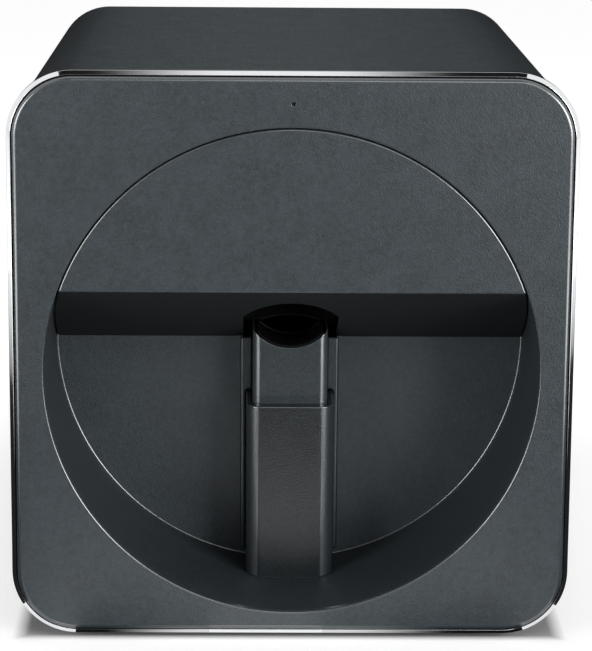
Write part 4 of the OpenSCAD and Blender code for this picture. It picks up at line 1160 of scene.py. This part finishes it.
class NAILPRINTER_OT_hood(Operator):
    """Makes the hood's disc and its ceiling, darkened as painted shade, the finger tunnel and its nail stop
    """
    bl_idname = "nailprinter.hood"
    bl_label = "Hood"

    def execute(self, context):
        sizes = context.scene.nailprinter_casing
        disc = sizes.opening_radius - 0.4 * MM
        hood = rounded(solid_copy("hood_shell"), sizes.disc_round, 4, clamp=False)

        def choose(place, normal):
            # The disc's rounded rim takes the edge finish: painted highlight
            if place.y < HOOD_LO.y + 1.2 * MM:
                rim = math.hypot(place.x, place.z - sizes.opening_centre) > disc - sizes.disc_round * 1.1
                return 1 if rim and abs(normal.y) < FLAT else 0
            # Faces under the hood that look down take the darkened ceiling finish: painted shade
            return 2 if normal.z < -0.5 and place.z < HOOD_EDGE + 1 * MM else 0

        finished(painted(hood, ("casing", "edge", "ceiling"), choose), node="hood_shell")

        # A band round the tunnel's mouth, cut along the slant of the ceiling
        tunnel_half, tunnel_radius, tunnel_axis, tunnel_foot = 18 * MM, 21.8 * MM, 103.9 * MM, 100 * MM

        def arch(grow):
            half, radius = tunnel_half + grow, tunnel_radius + grow
            side = math.acos(half / radius)
            crown = circle_loop(0, tunnel_axis, radius, 40, side, HALF_TURN - 2 * side)
            return [(half, tunnel_foot)] + crown + [(-half, tunnel_foot)]

        def ceiling(y):
            return HOOD_EDGE + (y - HOOD_LO.y) * (HOOD_LO.z - HOOD_EDGE) / (HOOD_HI.y - HOOD_LO.y)

        band = arch(3.12 * MM) + arch(0.0)[::-1]
        bezel = extruded("bezel", [band], HOOD_LO.y + 4 * MM, HOOD_HI.y - 1 * MM)
        front, back, floor, reach = -0.14, -0.05, 0.05, 0.03
        below = swapped(extruded("below", [[(front, floor), (front, ceiling(front)), (back, ceiling(back)),
                                            (back, floor)]], -reach, reach), 0, 1)
        bezel = combined(bezel, "DIFFERENCE", below)
        liner = joined("tunnel_liner_dressed", solid_copy("tunnel_liner", "liner"), bezel)
        # The band and the liner's faces that look down take the darkened ceiling finish: painted shade
        painted(liner, ("ceiling", "black"), lambda place, normal:
                0 if normal.z < -0.7 and normal.y < -0.2 or abs(place.x) > 20.5 * MM else 1)
        finished(liner, node="tunnel_liner")
        stop = rounded(solid_copy("nail_stop"), 0.8 * MM, 4, clamp=False)
        painted(stop, ("black", "satin"), lambda place, normal:
                1 if abs(place.x) < 15 * MM and normal.y < -0.1 and normal.z < -0.1 else 0)
        finished(stop, node="nail_stop")
        return {"FINISHED"}


class NAILPRINTER_OT_finger_column(Operator):
    """Makes the lower sleeve, the sliding finger rest and its lined groove"""
    bl_idname = "nailprinter.finger_column"
    bl_label = "Finger column"

    def execute(self, context):
        edge = 0.45 * MM
        sleeve = rounded(solid_copy("finger_sleeve"), edge, body="satin", edge="edge", clamp=False)
        # The sleeve's round front corners get a painted highlight
        finished(corners_with_painted_highlight(sleeve, "painted_sheen"), node="finger_sleeve")

        half, back, groove_axis = REST_HI.x, -60.5 * MM, (0, 0, 120.3 * MM)
        corner = context.scene.nailprinter_casing.rest_round
        loop = circle_loop(half - corner, REST_LO.y + corner, corner, 14, -QUARTER_TURN, QUARTER_TURN)
        loop += [(half, back), (-half, back)]
        loop += circle_loop(-half + corner, REST_LO.y + corner, corner, 14, HALF_TURN, QUARTER_TURN)
        column = swapped(extruded("finger_rest_dressed", [loop], REST_LO.z, REST_HI.z), 1, 2)
        arm = block("arm", (-9.5 * MM, back - 1 * MM, 94.3 * MM), (9.5 * MM, REST_HI.y, 106.0 * MM))
        groove = revolved("groove", [(0, REST_LO.y - 2 * MM), (18 * MM, REST_LO.y - 2 * MM),
                                     (18 * MM, REST_HI.y + 2 * MM), (0, REST_HI.y + 2 * MM)],
                          groove_axis, "Y", 160)
        slot = block("pin_slot", (-20 * MM, -73.3 * MM, 60.2 * MM), (20 * MM, -69.7 * MM, 75.8 * MM))
        rest = combined(combined(column, "UNION", arm), "DIFFERENCE", groove, slot)
        rest = rounded(outward(rest), edge, body="rest", edge="edge", clamp=False)
        # The rest's round front corners get a strong painted highlight
        finished(corners_with_painted_highlight(rest, "painted_glint"), node="finger_rest")

        pad = rounded(solid_copy("finger_pad", "pad"), 0.2 * MM, 2, body="lining")
        lip = revolved("lip", [(16.55 * MM, back - 0.9 * MM), (17.05 * MM, back - 1.3 * MM),
                               (17.05 * MM, back - 0.3 * MM), (16.6 * MM, back - 0.35 * MM)],
                       groove_axis, "Y", 60, math.radians(227), math.radians(86))
        lip.data.materials.append(FINISH["satin"])
        finished(joined("finger_pad_dressed", pad, lip), node="finger_pad")
        return {"FINISHED"}


class NAILPRINTER_OT_rounded_parts(Operator):
    """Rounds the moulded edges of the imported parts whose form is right"""
    bl_idname = "nailprinter.rounded_parts"
    bl_label = "Rounded parts"

    # Finish, then each node with the width of its rounding in millimetres
    parts = (
        ("cover", {"wrap_cover": 0.6}),
        ("inner", {"base_plate": 0.5}),
        ("casing", {"rear_panel": 0.5, "rear_door": 0.4}),
        ("inner", {"power_jack": 0.25}),
        ("cartridge", {"ink_cartridge": 0.9}),
        ("inner", {"cartridge_latch": 0.45, "carriage": 0.4, "cap_stand": 0.6}),
        ("rubber", {"rubber_cap": 0.4}),
        ("chip", {"camera_body": 0.5}),
        ("inner", {"camera_bracket": 0.3, "gantry_left": 0.6, "gantry_right": 0.6}),
        ("frames", {"left_frame": 0.25, "right_frame": 0.25}),
        ("inner", {"belt_clamp": 0.4, "catch_magnet": 0.3}),
        ("chip", {"power_switch": 0.4}),
        ("motor", {"heat_sink": 0.15}),
        ("brass", {"gantry_bushes": 0.35, "carriage_bushes": 0.35, "lead_nut": 0.35}),
        ("inner", {"spring_post": 0.4}),
        ("rod", {"y_rods": 0.4, "x_rods": 0.4, "motor_shaft": 0.2}),
    )

    def execute(self, context):
        for finish, widths in self.parts:
            for node, width in widths.items():
                finished(rounded(solid_copy(node), width * MM, split=True), finish, node)
        return {"FINISHED"}


class NAILPRINTER_OT_screws(Operator):
    """Makes the pan-head screws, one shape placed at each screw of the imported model"""
    bl_idname = "nailprinter.screws"
    bl_label = "Screws"

    # Node, the axis its screws lie along, and whether their heads are at its high end
    kinds = (("base_screws", "Z", False), ("rear_screws", "Y", True), ("well_screws", "Y", True),
             ("hood_screws", "Y", True), ("frame_screws", "Z", True))

    def screw(self, long):
        """Screw that points down from the origin, with its thread and a cross recess."""
        head, shank, root, pitch = 2.75 * MM, 1.3 * MM, 1.3 * MM * 0.82, 0.9 * MM
        section = [(0, -0.05 * MM), (1.4 * MM, -0.08 * MM), (2.3 * MM, -0.32 * MM), (head, -0.8 * MM),
                   (head, -1.5 * MM), (shank, -1.5 * MM)]
        for i in range(int((long - 2.4 * MM) / pitch)):
            z = -1.9 * MM - i * pitch
            section += [(root, z), (shank, z - 0.35 * MM), (root, z - 0.7 * MM)]
        section += [(0.5 * MM, -long + 0.05 * MM), (0, -long)]
        body = revolved("screw_shape", section, (0, 0, 0), "Z", 20)
        blades = [block("blade", (-a * MM, -b * MM, -1.05 * MM), (a * MM, b * MM, 0.5 * MM))
                  for a, b in ((1.35, 0.3), (0.3, 1.35))]
        return combined(body, "DIFFERENCE", combined(blades[0], "UNION", blades[1]))

    def execute(self, context):
        for node, axis, high in self.kinds:
            boxes = islands(node)
            number = "XYZ".index(axis)
            places = []
            for low, top in boxes:
                place = (low + top) / 2
                place[number] = top[number] if high else low[number]
                places.append(place)
            turn = (-QUARTER_TURN, 0, 0) if axis == "Y" else (0 if high else HALF_TURN, 0, 0)
            shape = self.screw(boxes[0][1][number] - boxes[0][0][number])
            finished(scattered(node + "_dressed", shape, places, "steel", turn), "steel", node)
        return {"FINISHED"}


class NAILPRINTER_OT_feet(Operator):
    """Makes the four hollow-faced rubber feet"""
    bl_idname = "nailprinter.feet"
    bl_label = "Rubber feet"

    def execute(self, context):
        boxes = islands("rubber_feet")
        wide, tall, hollow = (boxes[0][1].x - boxes[0][0].x) / 2, boxes[0][1].z, 0.9 * MM
        section = softened([(0.0, hollow), (wide - 3.2 * MM, hollow), (wide - 2.6 * MM, 0.0),
                            (wide - 0.7 * MM, 0.0), (wide, 0.8 * MM), (wide, tall), (0.0, tall)],
                           [0, 0.3 * MM, 0.3 * MM, 0.4 * MM, 0.4 * MM, 0.0, 0.0], 3)
        shape = revolved("foot_shape", section, (0, 0, 0), "Z", 64)
        places = [((low.x + top.x) / 2, (low.y + top.y) / 2, 0.0) for low, top in boxes]
        finished(scattered("rubber_feet_dressed", shape, places, "rubber"), "rubber", "rubber_feet")
        return {"FINISHED"}


class NAILPRINTER_OT_rear_fittings(Operator):
    """Makes the dished power button, the jack's contact and collar, and the door's grip ridges"""
    bl_idname = "nailprinter.rear_fittings"
    bl_label = "Rear fittings"

    def execute(self, context):
        low, high, centre = along_y("power_button")
        face, flange, shoulder = high.y, (high.x - low.x) / 2, low.y + 1.2 * MM
        radius = flange - 1.6 * MM
        section = [(0, low.y), (flange, low.y), (flange, shoulder), (radius, shoulder),
                   (radius, face - 0.6 * MM), (radius - 0.2 * MM, face - 0.15 * MM),
                   (radius - 0.7 * MM, face), (radius - 1.1 * MM, face - 0.02 * MM),
                   (radius - 1.6 * MM, face - 0.25 * MM), (radius * 0.4, face - 0.55 * MM),
                   (0, face - 0.62 * MM)]
        finished(revolved("power_button_dressed", section, centre, "Y", 72), "satin", "power_button")

        low, high, centre = along_y("power_jack")
        inside, outside, sunk, proud = 2.85 * MM, 4.4 * MM, high.y - 0.1 * MM, high.y + 0.25 * MM
        collar = revolved("jack_collar", softened(
            [(inside, sunk), (outside, sunk), (outside, proud), (inside, proud)],
            [0, 0, 0.12 * MM, 0.12 * MM], 2), centre, "Y", 64)
        pin = revolved("jack_pin", [(0, high.y - 8 * MM), (0.55 * MM, high.y - 8 * MM),
                                    (0.55 * MM, high.y - 1.6 * MM), (0.35 * MM, high.y - 1.1 * MM),
                                    (0, high.y - 1.0 * MM)], centre, "Y", 24)
        finished(joined("jack_contacts", collar, pin), "steel")

        low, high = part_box("rear_door")
        long, thick = 11 * MM, 0.28 * MM
        corners = [(-long, -thick), (long, -thick), (long, thick), (-long, thick)]
        ridge = extruded("ridge_shape", [softened(corners, [0.25 * MM] * 4, 3)], -0.5 * MM, 0.25 * MM)
        places = [(0, high.y - 1.2 * MM, high.z - (1.6 + 1.4 * i) * MM) for i in range(4)]
        finished(scattered("door_grip", ridge, places, "satin"), "satin", body="rear_door")
        return {"FINISHED"}


class NAILPRINTER_OT_drive(Operator):
    """Makes the toothed belt and its pulleys, the threaded lead screw, the motors and the spring"""
    bl_idname = "nailprinter.drive"
    bl_label = "Drive parts"

    def pulley(self, node):
        low, high, centre = along_y(node)
        flange, thick, count, groove = (high.x - low.x) / 2, 0.6 * MM, 18, 0.5 * MM
        core, bore = flange - 1.2 * MM, 1.62 * MM
        loop = []
        for i in range(count):
            for part, radius in ((0.0, core), (0.42, core), (0.55, core - groove), (0.87, core - groove)):
                a = TURN * (i + part) / count
                loop.append((centre[0] + radius * math.cos(a), centre[2] + radius * math.sin(a)))
        hole = circle_loop(centre[0], centre[2], bore, 32)
        wheel = extruded("teeth", [loop, hole], low.y + 0.3 * MM, high.y - 0.3 * MM)
        flanges = [revolved("flange", softened([(bore, a), (flange, a), (flange, b), (bore, b)],
                                               [0, 0.2 * MM, 0.2 * MM, 0], 2), centre, "Y", 64)
                   for a, b in ((low.y, low.y + thick), (high.y - thick, high.y))]
        finished(joined(node + "_dressed", wheel, *flanges), "motor", node)

    def motor(self, node, bore):
        low, high, centre = along_y(node)
        radius, waist = (high.x - low.x) / 2, (high.x - low.x) / 2 - 0.3 * MM
        chamfer, socket = 0.5 * MM, low.y + min(4 * MM, (high.y - low.y) / 2)
        can = [(bore, low.y), (4.2 * MM, low.y), (4.4 * MM, low.y + 0.02 * MM),
               (radius - chamfer, low.y + 0.02 * MM), (radius, low.y + chamfer), (radius, low.y + 3 * MM),
               (waist, low.y + 3.2 * MM), (waist, high.y - 3.2 * MM), (radius, high.y - 3 * MM),
               (radius, high.y - chamfer), (radius - chamfer, high.y), (3.0 * MM, high.y),
               (2.6 * MM, high.y - 0.6 * MM), (0, high.y - 0.6 * MM), (0, socket), (bore, socket)]
        body = revolved("can", can, centre, "Y", 72)
        body.data.materials.append(FINISH["motor"])
        tab = rounded(block("tab", (centre[0] - 3.6 * MM, high.y - 5.5 * MM, low.z + 0.2 * MM),
                            (centre[0] + 3.6 * MM, high.y - 0.5 * MM, low.z + 2.4 * MM)), 0.3 * MM, 2,
                      body="socket")
        finished(joined(node + "_dressed", body, tab), node=node)

    def belt(self, tooth_pitch):
        low, high, centre = along_y("drive_belt")
        mid, outer = (low.y + high.y) / 2, (high.z - low.z) / 2
        inner = outer - 1.2 * MM
        left, right = low.x + outer, high.x - outer

        def loop(radius):
            return (circle_loop(right, centre[2], radius, 36, -QUARTER_TURN, HALF_TURN)
                    + circle_loop(left, centre[2], radius, 36, QUARTER_TURN, HALF_TURN))

        band = rounded(extruded("band", [loop(outer), loop(inner)], low.y, high.y), 0.2 * MM, 2)
        band.data.materials.append(FINISH["belt"])
        root, tip, sunk, tall, half = 0.75 * MM, 0.45 * MM, -0.1 * MM, 0.24 * MM, 2.3 * MM
        profile = [(-root, sunk), (root, sunk), (tip, tall), (-tip, tall)]
        tooth = extruded("tooth_shape", [profile], -half, half)
        path = [(x, mid, z) for x, z in loop(inner)][::-1]
        teeth = along_path_recipe().run("teeth", polyline("path", path, True), Shape=tooth,
                                        Spacing=tooth_pitch, Material=FINISH["belt"])
        bpy.data.objects.remove(tooth)
        finished(joined("drive_belt_dressed", band, teeth), "belt", "drive_belt")

    def lead_screw(self, pitch):
        low, high, centre = along_y("lead_screw")
        radius, depth, clear = (high.x - low.x) / 2, 0.42 * MM, 0.7 * MM
        root, tip, long = radius - depth, radius - 0.6 * MM, high.y - low.y - 1.4 * MM
        core = revolved("core", [(0, low.y), (tip, low.y), (root, low.y + 0.5 * MM),
                                 (root, high.y - 0.5 * MM), (tip, high.y), (0, high.y)], centre, "Y", 40)
        core.data.materials.append(FINISH["rod"])
        thread = coil("thread", long / pitch, root, long, depth, 24, 8, "rod")
        thread.data.transform(Matrix.Translation((centre[0], low.y + clear, centre[2]))
                              @ Matrix.Rotation(-QUARTER_TURN, 4, "X"))
        finished(joined("lead_screw_dressed", core, outward(thread)), node="lead_screw")

    def spring(self, turns, wire):
        low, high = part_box("rest_spring")
        middle, tall = (low + high) / 2, high.z - low.z
        spring = coil("rest_spring_dressed", float(turns), (high.x - low.x) / 2 - wire / 2, tall - wire,
                      wire / 2, 32, 10, "steel")
        spring.data.transform(Matrix.Translation((middle.x, middle.y, low.z + wire / 2)))
        spring = finished(outward(spring), "steel", "rest_spring")
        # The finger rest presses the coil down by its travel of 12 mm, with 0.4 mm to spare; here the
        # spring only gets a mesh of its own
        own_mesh(spring)

    def execute(self, context):
        sizes = context.scene.nailprinter_drive
        for node in ("drive_pulley", "idler_pulley"):
            self.pulley(node)
        self.motor("x_motor", 1.65 * MM)
        self.motor("y_motor", 2.8 * MM)
        self.belt(sizes.tooth_pitch)
        self.lead_screw(sizes.thread_pitch)
        self.spring(sizes.spring_turns, sizes.spring_wire)
        return {"FINISHED"}


class NAILPRINTER_OT_boards(Operator):
    """Finishes the boards' parts: chips, sockets, capacitors and light diodes"""
    bl_idname = "nailprinter.boards"
    bl_label = "Circuit boards"

    def execute(self, context):
        low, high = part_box("main_board")
        top = low.z + 1.6 * MM

        def choose(place, normal):
            if place.z < top + 0.1 * MM:
                return 0
            if abs(place.y - 28 * MM) < 4.5 * MM and -25 * MM < place.x < -3 * MM:   # the capacitors
                return 3 if normal.z > 0.9 else 4
            in_socket_row = place.y > high.y - 28 * MM and abs(place.x) > 20 * MM
            return 2 if place.z > top + 4 * MM or in_socket_row else 1

        board = rounded(solid_copy("main_board"), 0.25 * MM, 2)
        painted(board, ("board_green", "chip", "socket", "steel", "cartridge"), choose)
        finished(board, node="main_board")

        low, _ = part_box("light_board")
        strip = rounded(solid_copy("light_board"), 0.15 * MM, 2)
        painted(strip, ("board_white", "diode"), lambda place, normal:
                1 if place.y > low.y + 1.5 * MM else 0)
        finished(strip, node="light_board")

        # Small parts in rows on the main board, clear of its sockets
        chip = rounded(block("part_shape", (-0.8 * MM, -0.45 * MM, 0.0), (0.8 * MM, 0.45 * MM, 0.6 * MM)),
                       0.12 * MM, 2)
        places = [((x + dx * i) * MM, (y + dy * j) * MM, top)
                  for x, dx, columns, y, dy, rows in ((-44, 5.5, 4, 50, 5, 5), (24, 4.5, 6, 64, 4, 3))
                  for i in range(columns) for j in range(rows)]
        finished(scattered("board_parts", chip, places, "chip"), "chip")
        return {"FINISHED"}


class NAILPRINTER_PT_panel(Panel):
    """Lists the pieces and their sizes"""
    bl_idname = "NAILPRINTER_PT_panel"
    bl_label = "Nail Printer"
    bl_space_type = "VIEW_3D"
    bl_region_type = "UI"
    bl_category = "Nail Printer"

    def draw(self, context):
        for word in PROPERTY_GROUPS:
            group = getattr(context.scene, "nailprinter_" + word)
            box = self.layout.box()
            for name in group.bl_rna.properties.keys():
                if name not in ("rna_type", "name"):
                    box.prop(group, name)
        for operator in OPERATORS:
            self.layout.operator(operator.bl_idname)


OPERATORS = (NAILPRINTER_OT_stage, NAILPRINTER_OT_solids, NAILPRINTER_OT_front_panel,
             NAILPRINTER_OT_trim, NAILPRINTER_OT_recess, NAILPRINTER_OT_hood,
             NAILPRINTER_OT_finger_column, NAILPRINTER_OT_rounded_parts, NAILPRINTER_OT_screws,
             NAILPRINTER_OT_feet, NAILPRINTER_OT_rear_fittings, NAILPRINTER_OT_drive, NAILPRINTER_OT_boards)
PROPERTY_GROUPS = {"casing": CasingSizes, "drive": DriveSizes, "finishes": Finishes, "stage": StageLevels}
CLASSES = (*PROPERTY_GROUPS.values(), *OPERATORS, NAILPRINTER_PT_panel)


def register():
    for cls in CLASSES:
        bpy.utils.register_class(cls)
    for word, group in PROPERTY_GROUPS.items():
        setattr(bpy.types.Scene, "nailprinter_" + word, PointerProperty(type=group))


def unregister():
    for word in PROPERTY_GROUPS:
        delattr(bpy.types.Scene, "nailprinter_" + word)
    for cls in reversed(CLASSES):
        bpy.utils.unregister_class(cls)


def main():
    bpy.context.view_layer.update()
    register()
    for operator in OPERATORS:
        getattr(bpy.ops.nailprinter, operator.bl_idname.split(".")[1])()


if __name__ == "__main__":
    main()
